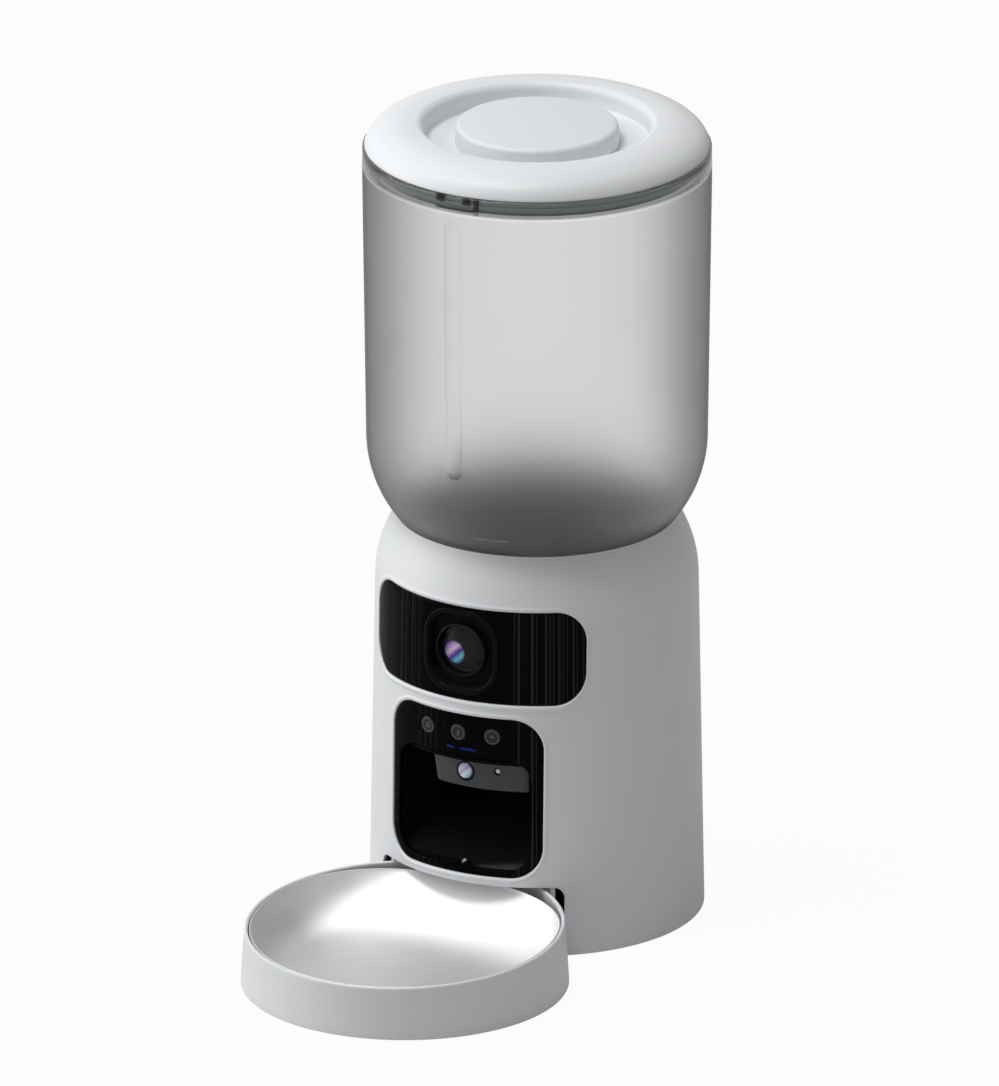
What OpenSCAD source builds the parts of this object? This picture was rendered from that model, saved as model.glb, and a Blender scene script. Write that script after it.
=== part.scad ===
// Automatic pet feeder with two cameras: a round base that holds the dispenser, a lift-off
// smoked hopper under a puffed lid, and a steel bowl in a round tray that docks under the
// front arch. Z is up, the front faces -Y, and the origin is on the floor, in the middle
// of the footprint. Most modules are drawn about the column's own axis.

/* [Base] */
// Outer radius of the base at the floor
base_r = 87.1; // [86:0.1:89]
// Outer radius where the shoulder starts
base_top_r = 83.9; // [82:0.1:86]
// Height where the shoulder starts
shoulder_z = 180.5; // [178:0.5:186]
// Radius of the rounded shoulder
shoulder_r = 64.2; // [60:0.2:70]
// Radius of the ring where hopper and base meet
seat_r = 73; // [71:0.5:75]
// Wall of the base shell
base_wall = 2.8; // [2:0.1:3.2]
// Height that the rubber feet stand proud of the shell
foot_h = 1; // [0.8:0.1:1.6]
// Thickness of the bottom plate
plate_t = 2.5; // [2:0.1:3]

/* [Hopper] */
// Outer radius of the hopper at its rim
hopper_r = 90.6; // [90:0.1:94]
// Outer radius where the wall turns into the round bottom
hopper_bend_start_r = 88.5; // [87.5:0.1:89.5]
// Radius of the round bottom corner
hopper_bend_r = 67; // [66:0.2:68]
// Height of the rim above the seat ring
hopper_h = 200.2; // [170:0.1:240]
// Wall of the hopper
hopper_wall = 2.2; // [1.8:0.1:2.6]
// Outer radius of the outlet neck
outlet_r = 36; // [33:0.5:37]
// Width of the sight strip
sight_w = 8.8; // [6:0.2:12]
// Length of the sight strip
sight_h = 141; // [100:1:150]

/* [Lid] */
// How far the lid's edge stands in from the hopper's rim
lid_step = 0.8; // [0.4:0.1:2]
// Radius of the lid's rounded edge
lid_edge_r = 13.2; // [12:0.2:14]
// Radius of the broad curve over the lid's crest
lid_crest_r = 31.3; // [28:0.1:34]
// Width of the puffed ring, from the lid's edge to the finger channel
lid_ring_w = 30.8; // [28:0.2:34]
// Depth of the finger channel below the crest
channel_depth = 11.3; // [9:0.1:12]
// Radius of the grip's top face
grip_r = 39.3; // [36:0.1:42]
// Wall of the lid
lid_wall = 2.4; // [2:0.1:3]
// Height of the seal band below the rim
seal_band_h = 8.2; // [7:0.2:10]

/* [Windows] */
// Half angle of the upper window
cam_half = 46; // [44:0.5:48]
// Distance between the two windows
window_gap = 8; // [7:0.5:10]
// Height of the upper window
cam_h = 51; // [49:0.5:52]
// Corner radius of the windows
window_corner = 17; // [14:0.5:19]
// Half angle of the lower window
niche_half = 31.4; // [31:0.1:32]
// Lower edge of the lower window
niche_z0 = 43.5; // [43:0.1:44.5]
// Height of the lower window
niche_h = 87.5; // [86.5:0.5:88]
// Half angle of the food opening
mouth_half = 27; // [26:0.5:27.5]
// Height of the band over the food opening that holds the keys
key_band_h = 23.4; // [22:0.2:25]
// Width of the raised bead round each window
bead_w = 2.4; // [1.5:0.1:2.6]
// Height of the raised bead
bead_h = 0.5; // [0.3:0.1:0.8]

/* [Cameras] */
// Half width of the camera bezel
bezel_half_w = 22; // [20:0.5:24]
// Height of the camera bezel
bezel_h = 46.6; // [42:0.2:47]
// Radius of the camera barrel
barrel_r = 14.4; // [13:0.1:15]
// Radius of the bowl camera's lens barrel
bowl_cam_r = 5.2; // [4:0.1:6]
// Depth of the sensor bar behind the front surface
bar_recess = 9; // [8.6:0.1:9.6]
// Height of the sensor bar
bar_h = 16.7; // [15:0.1:18]

/* [Keys] */
// Radius of a key
key_r = 4.7; // [4:0.1:5.2]
// Angle between neighbouring keys
key_step = 13; // [12:0.5:14]
// Height of the keys' centres above the food opening
key_rise = 12.4; // [11:0.2:13]
// Travel of a key
key_travel = 0.8; // [0.4:0.1:1]

/* [Tray and bowl] */
// How much smaller than the base the tray is, in radius
tray_step = 2.1; // [1:0.1:4]
// How much the tray narrows from the floor to its rim, in radius
tray_taper = 2; // [1:0.1:2.4]
// How far the tray reaches in under the base
dock_depth = 31.2; // [28:0.2:33]
// Height of the rim at the tray's centre
tray_rim_z = 33; // [31:0.5:33.5]
// Rise of the rim towards the base, in degrees
tray_tilt = 3; // [1:0.1:3.2]
// Wall of the tray
tray_wall = 2; // [1.6:0.1:2.4]
// Sheet thickness of the bowl
bowl_t = 0.8; // [0.6:0.1:1]
// Height of the bowl's floor
bowl_floor_z = 8; // [7:0.5:10]
// Radius between the bowl's floor and its wall
bowl_bend_r = 20; // [14:0.5:21]
// Distance from the bowl's wall to the foot of the ramp
ramp_l = 43.6; // [38:0.2:46]
// Distance from the bowl's wall to the straight top edge of the ramp
ramp_step = 13; // [12:0.2:15]
// Height of the arch over the tray
arch_z = 38.4; // [38.2:0.1:39]
// Half angle of the arch
arch_half = 38; // [37:0.5:40]

/* [Dispenser] */
// Inner radius of the rotor chamber
chamber_r = 54; // [52:0.2:54.4]
// Depth of the chamber below the hopper's floor
chamber_drop = 44.1; // [43.6:0.1:45]
// Wall of the chamber, its floor and the chute
chamber_wall = 2; // [1.6:0.1:2.2]
// Number of paddles
paddles = 6; // [4:1:8]
// Height of the paddles
paddle_h = 26; // [22:0.5:27]
// Thickness of a paddle
paddle_t = 2; // [1.5:0.1:3]
// Radius of the rotor's hub
hub_r = 12; // [10:0.5:14]
// Radius of the rotor's shaft
shaft_r = 4; // [3:0.1:5]
// Module of the gears
gear_module = 1.5; // [1.3:0.1:1.5]
// Teeth of the drive gear
gear_teeth = 34; // [28:2:34]
// Teeth of the pinion
pinion_teeth = 10; // [10:1:14]
// Face width of the gears
gear_w = 8; // [6:0.5:9]
// Half width of the chute's throat
throat_half_w = 27; // [22:0.5:28]

/* [Battery bay] */
// Length of a reserve cell
cell_l = 61.5; // [50:0.5:62]
// Diameter of a reserve cell
cell_d = 34.2; // [26:0.2:34.4]

/* [Hidden] */
$fn = 96;
fit_gap = 0.3;          // between pieces that come apart by hand
run_gap = 0.05;         // between a shaft and its bush
tiny = 0.01;
big = 500;

tray_r = base_r - tray_step;
tray_rim_r = tray_r - tray_taper;
tray_reach = base_r + tray_r - dock_depth;

// The column's axis stands behind the origin, so that the footprint is centred
col_y = (tray_reach + tray_r - hopper_r) / 2;

base_rise = foot_h;
plate_z = base_rise + 1.5;
plate_top = plate_z + plate_t;
shoulder_cx = base_top_r - shoulder_r;
seat_z = shoulder_z + sqrt(pow(shoulder_r, 2) - pow(seat_r - shoulder_cx, 2));
bend_cx = hopper_bend_start_r - hopper_bend_r;
bend_z = seat_z + sqrt(pow(hopper_bend_r, 2) - pow(seat_r - bend_cx, 2));
rim_z = seat_z + hopper_h;
hopper_floor_z = bend_z - hopper_bend_r;
dish_t = 2.4;
neck_z = hopper_floor_z - 5;

lid_z = rim_z + fit_gap;
lid_r = hopper_r - lid_step;
channel_r = lid_r - lid_ring_w;
lid_edge_z = lid_z - 3.2;                // centre height of the rounded edge
lid_turn = 61;                           // where the edge curve meets the broad curve
crest_cx = lid_r - lid_edge_r + (lid_edge_r - lid_crest_r) * cos(lid_turn);
crest_cz = lid_edge_z + (lid_edge_r - lid_crest_r) * sin(lid_turn);
crest_z = crest_cz + lid_crest_r;
channel_z = crest_z - channel_depth;
channel_lip = 4;
liner_z = rim_z - seal_band_h;
skirt_r = tank_r_at(liner_z) - hopper_wall - fit_gap;
liner_t = 2;
liner_r = skirt_r - 1.8;
pack_hole_r = grip_r - 4;
cover_r = pack_hole_r - 1;
lug_half = 7;
grip_foot_r = grip_r + 2.7;
grip_top = crest_z - 0.7;

niche_z1 = niche_z0 + niche_h;
cam_z0 = niche_z1 + window_gap;
cam_z1 = cam_z0 + cam_h;
cam_mid_z = cam_z0 + cam_h / 2;
mouth_frame = 3.5;
mouth_z0 = niche_z0 + mouth_frame;
mouth_z1 = niche_z1 - key_band_h;
mouth_corner = window_corner - mouth_frame;
panel_t = 3;
panel_gap = 0.2;
panel_sink = 0.2;                        // how far the dark panels lie behind the shell's face
key_z = mouth_z1 + key_rise;
key_l = 5.6;
key_back = base_r_at(key_z) - 0.3 - key_l;
key_board_y = 7 - key_back * cos(key_step);
key_board_half = 31;
key_board_h = 16;
bezel_half = asin(bezel_half_w / base_r_at(cam_mid_z));
bezel_z0 = cam_mid_z - bezel_h / 2;
bezel_z1 = cam_mid_z + bezel_h / 2;
bezel_edge = 1.6;
bezel_depth = 5;
arch_corner = 6;
barrel_out = 2.2;
barrel_l = 17;

bar_z1 = mouth_z1 - 3.6;
bar_z0 = bar_z1 - bar_h;
bar_r = base_r_at(bar_z0) - bar_recess;
bar_t = 2;
bar_left = -13.5;
bar_cam_z = bar_z0 + 8.7;
bar_eye_z = bar_z0 + 10.9;
bar_eye_a = 13.6;
bar_eye_r = 2;

tray_y = -tray_reach;
tray_rise = foot_h;
tray_floor_t = 2.5;
tray_floor_z = tray_rise + tray_floor_t;
tray_top = tray_rim_z + 10;
tray_rib_rings = [30, 54];
tray_rib_t = 1.8;
bowl_r = tray_rim_r - tray_wall - 0.4;
ramp_foot = bowl_r - ramp_l;
ramp_top = bowl_r - ramp_step;
ramp_top_z = rim_height(ramp_top) - 1.2;
ramp_slope = atan((ramp_top_z - bowl_floor_z) / (ramp_top - ramp_foot));
dock_gap = 0.4;
dock_wall = 2;
dock_z = arch_z + 0.6;

chamber_z = hopper_floor_z - chamber_drop;
floor_t = 3;
floor_top = chamber_z + floor_t;
sweep_gap = 0.8;                         // between the rotor and the chamber's floor
rotor_z = floor_top + sweep_gap;
shaft_top = rotor_z + paddle_h - 4;
paddle_r = chamber_r - 1.2;
hub_dome_r = 16;
paddle_round = 6;
baffle_half = 36;
baffle_t = 1.6;
baffle_z = rotor_z + paddle_h + 2;
bush_r = shaft_r + 2.5;
bush_flange = 1.6;
bracket_posts = [[-38, 2], [38, 2], [-30, 42], [30, 42]];
post_r = 3.5;
throat_y0 = -(chamber_r - 2);
throat_y1 = throat_y0 + 21.5;
sill_y = -(base_r_at(mouth_z0) - 9);
slide_top = bar_z0 - 3.3;
bracket_z = chamber_z - 22;
bracket_t = 3;
gear_lift = 5;                           // from the bracket to the gears
gear_z = bracket_z + bracket_t + gear_lift;
gear_pitch = gear_module * gear_teeth / 2;
pinion_pitch = gear_module * pinion_teeth / 2;
motor_y = gear_pitch + pinion_pitch;
motor_shaft_r = 3;
gearbox_h = 22;
gearbox_w = 32;
gearbox_l = 30;
can_r = 12;
can_h = 24;
backlash = 0.3;
mesh_turn = 180 / pinion_teeth;          // brings a gap of the pinion to face the gear

bay_x = cell_d * 3 / 2 + 0.5;
bay_wall = 2;
bay_z1 = plate_top + cell_d + 1.5;
bay_clear = 4;                           // from the dock to the battery box
bay_y0 = bay_clear + dock_wall + bay_wall + dock_gap + dock_depth - base_r;
bay_y1 = bay_y0 + cell_l + 1.5;
door_t = plate_t;
hinge_y = bay_y0 + fit_gap + door_t / 2;
pin_r = 0.8;
pin_l = 1.2;
contact_w = 14;
contact_t = 0.5;
board_t = 1.6;
board_w = 80;
board_l = 62;
chip = 16;
camera_board_w = 40;
camera_board_h = 38;
sensor_chip = 14;

stud_h = 4;
latch_w = 16;
latch_l = 6;

screw_r = 1.5;
screw_head_r = 2.8;
screw_head_h = 1.8;
screw_angles = [10, 62, 118, 170];
screw_ring = base_r - base_wall - 6.5;
boss_r = 4.2;
boss_h = 16;

foot_r = 7;
foot_ring = base_r - foot_r - 9;
foot_x = bay_x + bay_wall + foot_r + 0.8;
foot_y = sqrt(max(0, pow(foot_ring, 2) - pow(foot_x, 2)));
foot_spots = [
    [foot_x, -foot_y], [-foot_x, -foot_y],
    [foot_ring * cos(38), foot_ring * sin(38)], [-foot_ring * cos(38), foot_ring * sin(38)]
];

socket_z = 14;
socket_w = 9;
socket_h = 3.4;
socket_l = 10;
socket_board = 6;                        // how far its board reaches in behind it

speaker_r = 15;
speaker_h = 3;
speaker_y = (bay_y1 + latch_l + base_r_at(socket_z) - socket_l - socket_board) / 2;
slot_w = 1.8;
slot_step = 4;

light_r = 1.5;
light_z = mouth_z0 - 1;

function slot_half(x) = sqrt(pow(speaker_r - 4, 2) - x * x) - 1;
function base_r_at(z) = base_r - (base_r - base_top_r) * z / shoulder_z;
function tank_r_at(z) =
    hopper_bend_start_r + (hopper_r - hopper_bend_start_r) * (z - bend_z) / (rim_z - bend_z);
function tray_r_at(z) = tray_r - (tray_r - tray_rim_r) * (z - tray_rise) / (tray_rim_z - tray_rise);
function rim_height(y) = tray_rim_z + y * tan(tray_tilt);

// Places its children on the column's axis
module on_column() {
    translate([0, col_y, 0]) children();
}

// Turns its children, drawn with their outward side up, to face out at an angle and height.
// Angle 0 is the front, and positive angles go to the right.
module facing(angle, z) {
    rotate([0, 0, angle]) translate([0, 0, z]) rotate([90, 0, 0]) children();
}

// Part of an upright ring round the column between two angles. Angle 0 is the front.
module ring_sector(r0, r1, a0, a1, z0, z1) {
    rotate([0, 0, a0 - 90])
        rotate_extrude(angle = a1 - a0)
            translate([r0, z0]) square([r1 - r0, z1 - z0]);
}

// Outline of a rounded rectangle that is wrapped round the column's front, seen square on.
// Its corners are true quarter circles along the curved surface.
function wrapped_outline(half, z0, z1, corner, r, steps = 7) =
    let (reach = r * half * PI / 180 - corner)
    [
        for (q = [0:3])
            for (k = [0:steps])
                let (
                    a = q * 90 + k * 90 / steps,
                    along = (q == 0 || q == 3 ? reach : -reach) + corner * cos(a),
                    up = (q < 2 ? z1 - corner : z0 + corner) + corner * sin(a)
                )
                [r * sin(along / r * 180 / PI), up]
    ];

// Cutter for a window in the column's front, drawn straight back from the front
module wrapped(half, z0, z1, corner, grow = 0) {
    r = base_r_at((z0 + z1) / 2);
    translate([0, -20, 0])
        rotate([90, 0, 0])
            linear_extrude(big)
                polygon(wrapped_outline(half + grow / r * 180 / PI, z0 - grow, z1 + grow,
                                        corner + grow, r));
}

// Section of the solid base, seen from the axis outwards, drawn in by a given amount
module base_section(inset = 0) {
    polygon([
        [0, base_rise],
        [base_r_at(base_rise) - inset, base_rise],
        [base_top_r - inset, shoulder_z],
        [0, shoulder_z]
    ]);
    difference() {
        translate([shoulder_cx, shoulder_z]) circle(r = shoulder_r - inset);
        translate([-big, -big]) square([big, 2 * big]);
        translate([-big, shoulder_z - big]) square([2 * big, big]);
        translate([-big, seat_z + 4]) square([2 * big, big]);
    }
}

// Section of the round bottom of the hopper, grown by a given amount, and all above it
module hopper_void_section(grow = 0) {
    intersection() {
        translate([bend_cx, bend_z]) circle(r = hopper_bend_r + grow);
        square([big, big]);
    }
    translate([0, bend_z - hopper_bend_r - grow]) square([bend_cx, big]);
    translate([0, bend_z]) square([hopper_bend_start_r + grow, big]);
}

// Shell-shaped band of the column between two insets, cut out by its children
module base_band(outset, inset) {
    intersection() {
        rotate_extrude()
            difference() {
                base_section(-outset);
                base_section(inset);
            }
        children();
    }
}

// Raised bead round a window
module bead(half, z0, z1) {
    base_band(bead_h, base_wall / 2) wrapped(half, z0, z1, window_corner, bead_w);
}

module base_shell() {
    color([0.9, 0.91, 0.92])
    on_column() {
        difference() {
            union() {
                rotate_extrude()
                    difference() {
                        base_section();
                        base_section(base_wall);
                        hopper_void_section(fit_gap);
                    }
                bead(cam_half, cam_z0, cam_z1);
                bead(niche_half, niche_z0, niche_z1);
                for (a = screw_angles) screw_boss(a);
            }
            wrapped(cam_half, cam_z0, cam_z1, window_corner);
            wrapped(niche_half, niche_z0, niche_z1, window_corner);
            wrapped(arch_half, -arch_z, arch_z, arch_corner);
            facing(180, socket_z) socket_outline(0.5, big);
            for (a = screw_angles)
                rotate([0, 0, a])
                    translate([screw_ring, 0, plate_top])
                        cylinder(r = screw_r + run_gap, h = boss_h - 2);
        }
    }
}

// Boss that grows from the shell's wall and takes one screw of the bottom plate
module screw_boss(a) {
    rotate([0, 0, a])
        translate([0, 0, plate_top]) {
            translate([screw_ring, 0, 0]) cylinder(r = boss_r, h = boss_h);
            translate([screw_ring, -1, 0])
                cube([base_r_at(boss_h + plate_top) - base_wall / 2 - screw_ring, 2, boss_h]);
        }
}

module plate_outline(inset) {
    difference() {
        circle(r = base_r_at(plate_top) - base_wall - inset);
        translate([0, tray_y]) circle(r = tray_r + dock_gap);
    }
}

module base_plate() {
    color([0.88, 0.89, 0.9])
    on_column()
        difference() {
            translate([0, 0, plate_z]) linear_extrude(plate_t) plate_outline(0.2);
            translate([-bay_x, bay_y0, 0]) cube([2 * bay_x, bay_y1 - bay_y0, 20]);
            translate([-latch_w / 2 - fit_gap, bay_y1 - tiny, 0])
                cube([latch_w + 2 * fit_gap, latch_l + fit_gap, 20]);
            door_axis(pin_r + run_gap, 2 * (bay_x + pin_l + fit_gap));
            for (a = screw_angles)
                rotate([0, 0, a]) translate([screw_ring, 0, 0]) {
                    cylinder(r = screw_r + run_gap, h = 20);
                    cylinder(r = screw_head_r + fit_gap, h = plate_z - 0.4 + screw_head_h);
                }
            for (p = foot_spots)
                translate(p) cylinder(r = foot_r + 0.1, h = plate_z + 1);
            for (x = [-2 * slot_step:slot_step:2 * slot_step])
                translate([x - slot_w / 2, speaker_y - slot_half(x), 0])
                    cube([slot_w, 2 * slot_half(x), 2 * plate_top]);
        }
}

module rubber_feet() {
    color([0.35, 0.35, 0.36])
    on_column()
        for (p = foot_spots)
            translate(p) cylinder(r = foot_r, h = plate_z + 1);
}

module base_screws() {
    color([0.6, 0.6, 0.62])
    on_column()
        for (a = screw_angles)
            rotate([0, 0, a]) translate([screw_ring, 0, 0]) {
                difference() {
                    translate([0, 0, plate_z - 0.4]) cylinder(r = screw_head_r, h = screw_head_h);
                    translate([-1.8, -0.4, 0]) cube([3.6, 0.8, plate_z + 0.4]);
                    translate([-0.4, -1.8, 0]) cube([0.8, 3.6, plate_z + 0.4]);
                }
                translate([0, 0, plate_z + 1.3]) cylinder(r = screw_r, h = plate_t + 9);
            }
}

// Dish that the hopper's round bottom rests in, with the collar of its outlet
module hopper_seat() {
    collar_in = outlet_r + fit_gap;
    color([0.86, 0.87, 0.88])
    on_column()
        rotate_extrude()
            difference() {
                union() {
                    intersection() {
                        hopper_void_section(fit_gap + dish_t);
                        base_section(base_wall);
                        square([big, seat_z - 1]);
                    }
                    translate([0, neck_z - 2])
                        square([collar_in + 2.2, seat_z - 1 - neck_z]);
                }
                hopper_void_section(fit_gap);
                square([collar_in, seat_z]);
            }
}

// Cup that the rotor turns in: a floor with the drop hole, a wall up to the dish,
// and posts below for the motor bracket
module rotor_chamber() {
    color([0.8, 0.81, 0.82])
    on_column()
        difference() {
            union() {
                difference() {
                    translate([0, 0, chamber_z])
                        cylinder(r = chamber_r + chamber_wall, h = seat_z - chamber_z);
                    translate([0, 0, floor_top]) cylinder(r = chamber_r, h = big);
                    rotate_extrude() hopper_void_section(fit_gap + dish_t);
                }
                for (p = bracket_posts)
                    translate([p[0], p[1], bracket_z + bracket_t])
                        cylinder(r = post_r, h = chamber_z - bracket_z - bracket_t + 1);
            }
            intersection() {
                cylinder(r = chamber_r - 0.5, h = big);
                translate([-throat_half_w, throat_y0, 0])
                    cube([2 * throat_half_w, throat_y1 - throat_y0, big]);
            }
            translate([0, 0, chamber_z - 1]) cylinder(r = bush_r, h = 10);
            for (p = bracket_posts)
                translate([p[0], p[1], 0]) cylinder(r = 1.3, h = bracket_z + bracket_t + 12);
        }
}

// Lid over the drop hole, so that no food falls straight through the rotor
module portion_baffle() {
    color([0.82, 0.83, 0.84])
    on_column()
        ring_sector(hub_r + 4, chamber_r, -baffle_half, baffle_half, baffle_z, baffle_z + baffle_t);
}

// Side view of the chute, as distances behind the axis and heights, grown by its wall
module chute_side(grow) {
    polygon([
        [-base_r, mouth_z0 - grow],
        [sill_y, mouth_z0 - grow],
        [throat_y1 + grow, slide_top - grow],
        [throat_y1 + grow, chamber_z + (grow > 0 ? 0 : 1)],
        [throat_y0 - grow, chamber_z + (grow > 0 ? 0 : 1)],
        [throat_y0 - grow, bar_z1 + grow],
        [-base_r, bar_z1 + grow]
    ]);
}

// Plan of the chute: wide at the front and narrow at the throat
module chute_plan(grow) {
    front_half = base_r * sin(mouth_half) - 1.4;
    polygon([
        [-front_half - grow, -base_r],
        [front_half + grow, -base_r],
        [front_half + grow, sill_y],
        [throat_half_w + grow, throat_y0],
        [throat_half_w + grow, throat_y1 + grow],
        [-throat_half_w - grow, throat_y1 + grow],
        [-throat_half_w - grow, throat_y0],
        [-front_half - grow, sill_y]
    ]);
}

module chute_solid(grow) {
    intersection() {
        rotate([90, 0, 90]) linear_extrude(big, center = true) chute_side(grow);
        linear_extrude(chamber_z + 2) chute_plan(grow);
    }
}

module chute_liner() {
    color([0.08, 0.08, 0.09])
    on_column()
        difference() {
            intersection() {
                chute_solid(chamber_wall);
                rotate_extrude() base_section(panel_t);
            }
            chute_solid(0);
            facing(0, light_z) cylinder(r = light_r + run_gap, h = big);
        }
}

module dock_region(r) {
    intersection() {
        translate([0, tray_y, 0]) cylinder(r = r, h = dock_z + dock_wall);
        rotate_extrude() base_section(base_wall);
    }
}

// Wall and ceiling of the pocket that the tray docks in
module tray_dock() {
    color([0.8, 0.81, 0.82])
    on_column()
        difference() {
            dock_region(tray_r + dock_gap + dock_wall);
            translate([0, tray_y, -tiny]) cylinder(r = tray_r + dock_gap, h = dock_z);
            cylinder(r = base_r, h = plate_top);
        }
}

module camera_window() {
    color([0.02, 0.02, 0.025])
    on_column()
        difference() {
            base_band(-panel_sink, panel_t)
                wrapped(cam_half, cam_z0, cam_z1, window_corner, -panel_gap);
            wrapped(bezel_half, bezel_z0, bezel_z1, window_corner, panel_gap / 2);
        }
}

// Rounded ring round the camera, with a sunk face that holds the barrel
module camera_bezel() {
    color([0.04, 0.04, 0.045])
    on_column()
        difference() {
            base_band(bead_h, bezel_depth + 2)
                wrapped(bezel_half, bezel_z0, bezel_z1, window_corner);
            base_band(2, bezel_depth)
                wrapped(bezel_half, bezel_z0, bezel_z1, window_corner, -bezel_edge);
            facing(0, cam_mid_z) cylinder(r = barrel_r + 0.1, h = big);
        }
}

module camera_barrel() {
    front = base_r_at(cam_mid_z) - barrel_out;
    inside_r = base_r_at(cam_mid_z) - bezel_depth - 2;
    flange_r = barrel_r + 3;
    flange_front = sqrt(pow(inside_r, 2) - pow(flange_r, 2)) - 0.1;
    color([0.05, 0.05, 0.06])
    on_column()
        facing(0, cam_mid_z)
            difference() {
                union() {
                    translate([0, 0, front - barrel_l]) cylinder(r = barrel_r, h = barrel_l);
                    translate([0, 0, flange_front - 3]) cylinder(r = flange_r, h = 3);
                }
                translate([0, 0, front - 4]) cylinder(r = barrel_r - 2, h = 10);
                translate([0, 0, front - 15]) cylinder(r = 6, h = 20);
            }
}

// Glass dome of the camera on its stepped seat
module camera_lens() {
    front = base_r_at(cam_mid_z) - barrel_out;
    dome_r = 18;
    lens_r = barrel_r - 2.1;
    color([0.1, 0.08, 0.2])
    on_column()
        facing(0, cam_mid_z) {
            intersection() {
                translate([0, 0, front + 1 - dome_r]) sphere(r = dome_r);
                translate([0, 0, front - 4]) cylinder(r = lens_r, h = 10);
            }
            translate([0, 0, front - 12]) cylinder(r = 5.9, h = 9);
        }
}

module camera_board() {
    front = base_r_at(cam_mid_z) - barrel_out - barrel_l;
    color([0.1, 0.35, 0.2])
    on_column()
        facing(0, cam_mid_z) {
            translate([-camera_board_w / 2, -camera_board_h / 2, front - board_t])
                cube([camera_board_w, camera_board_h, board_t]);
            translate([-sensor_chip / 2, -sensor_chip / 2, front - board_t - 1.2])
                cube([sensor_chip, sensor_chip, 1.2]);
        }
}

module control_panel() {
    color([0.02, 0.02, 0.025])
    on_column()
        difference() {
            union() {
                base_band(-panel_sink, panel_t)
                    wrapped(niche_half, niche_z0, niche_z1, window_corner, -panel_gap);
                for (s = [-1, 1])
                    intersection() {
                        translate([s * (key_board_half - 2.5) - 2, -base_r, key_z - 5])
                            cube([4, base_r + key_board_y, 10]);
                        rotate_extrude() base_section(panel_t - 1);
                    }
            }
            wrapped(mouth_half, mouth_z0, mouth_z1, mouth_corner);
            for (i = [-1:1])
                facing(i * key_step, key_z) cylinder(r = key_r + fit_gap, h = big);
        }
}

// One key: a cap that stands flush in the panel, and a collar that keeps it in
module key(i) {
    on_column()
        facing(i * key_step, key_z)
            translate([0, 0, key_back]) {
                cylinder(r = key_r, h = key_l);
                cylinder(r = key_r + 1.3, h = 1.4);
            }
}

module feed_key() {
    color([0.16, 0.16, 0.17]) key(-1);
}

module talk_key() {
    color([0.16, 0.16, 0.17]) key(0);
}

module reset_key() {
    color([0.16, 0.16, 0.17]) key(1);
}

// Circuit board behind the keys, with one small switch for each
module key_board() {
    color([0.1, 0.35, 0.2])
    on_column()
        difference() {
            union() {
                translate([-key_board_half, key_board_y, key_z - key_board_h / 2 + 1])
                    cube([2 * key_board_half, board_t, key_board_h]);
                for (i = [-1:1])
                    facing(i * key_step, key_z)
                        translate([-3, -3, key_back - 10]) cube([6, 6, 10 - key_travel - fit_gap]);
            }
            translate([-big / 2, key_board_y + board_t, 0]) cube(big);
        }
}

// Grey bar behind the food opening: it carries the camera that watches the bowl
module sensor_bar() {
    color([0.25, 0.26, 0.26])
    on_column()
        difference() {
            ring_sector(bar_r - bar_t, bar_r, bar_left - 3, mouth_half - 0.6, bar_z0, bar_z1);
            facing(bar_left, bar_z0)
                rotate([0, 0, 11]) translate([-big, -big / 2, 0]) cube(big);
            facing(0, bar_cam_z) cylinder(r = bowl_cam_r + 0.1, h = big);
            facing(bar_eye_a, bar_eye_z) cylinder(r = bar_eye_r + 0.1, h = big);
        }
}

module bowl_camera() {
    color([0.06, 0.06, 0.07])
    on_column()
        facing(0, bar_cam_z) {
            difference() {
                translate([0, 0, bar_r - 9]) cylinder(r = bowl_cam_r, h = 9.4);
                translate([0, 0, bar_r - 3]) cylinder(r = bowl_cam_r - 0.8, h = 5);
            }
            translate([-bowl_cam_r - 1.5, -6, bar_r - 10.6])
                cube([2 * bowl_cam_r + 3, 12, 1.6]);
        }
}

module bowl_camera_lens() {
    color([0.3, 0.25, 0.5])
    on_column()
        facing(0, bar_cam_z)
            intersection() {
                translate([0, 0, bar_r + 1.2 - 9]) sphere(r = 9);
                translate([0, 0, bar_r - 3]) cylinder(r = bowl_cam_r - 0.85, h = 10);
            }
}

module sensor_eye() {
    color([0.7, 0.7, 0.72])
    on_column()
        facing(bar_eye_a, bar_eye_z)
            translate([0, 0, bar_r - 5]) cylinder(r = bar_eye_r, h = 4.2);
}

module status_light() {
    color([0.9, 0.95, 1])
    on_column()
        facing(0, light_z)
            translate([0, 0, -sill_y - 4]) cylinder(r = light_r, h = 5);
}

module motor_bracket() {
    color([0.62, 0.63, 0.65])
    on_column()
        difference() {
            translate([0, 0, bracket_z])
                linear_extrude(bracket_t)
                    difference() {
                        union() {
                            polygon([for (p = [0, 1, 3, 2]) bracket_posts[p]]);
                            for (p = bracket_posts) translate(p) circle(r = post_r + 1.5);
                            circle(r = 12);
                        }
                        translate([0, motor_y]) circle(r = 5);
                        circle(r = shaft_r + run_gap);
                    }
            for (p = bracket_posts)
                translate([p[0], p[1], 0]) cylinder(r = 1.6, h = big);
        }
}

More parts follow.
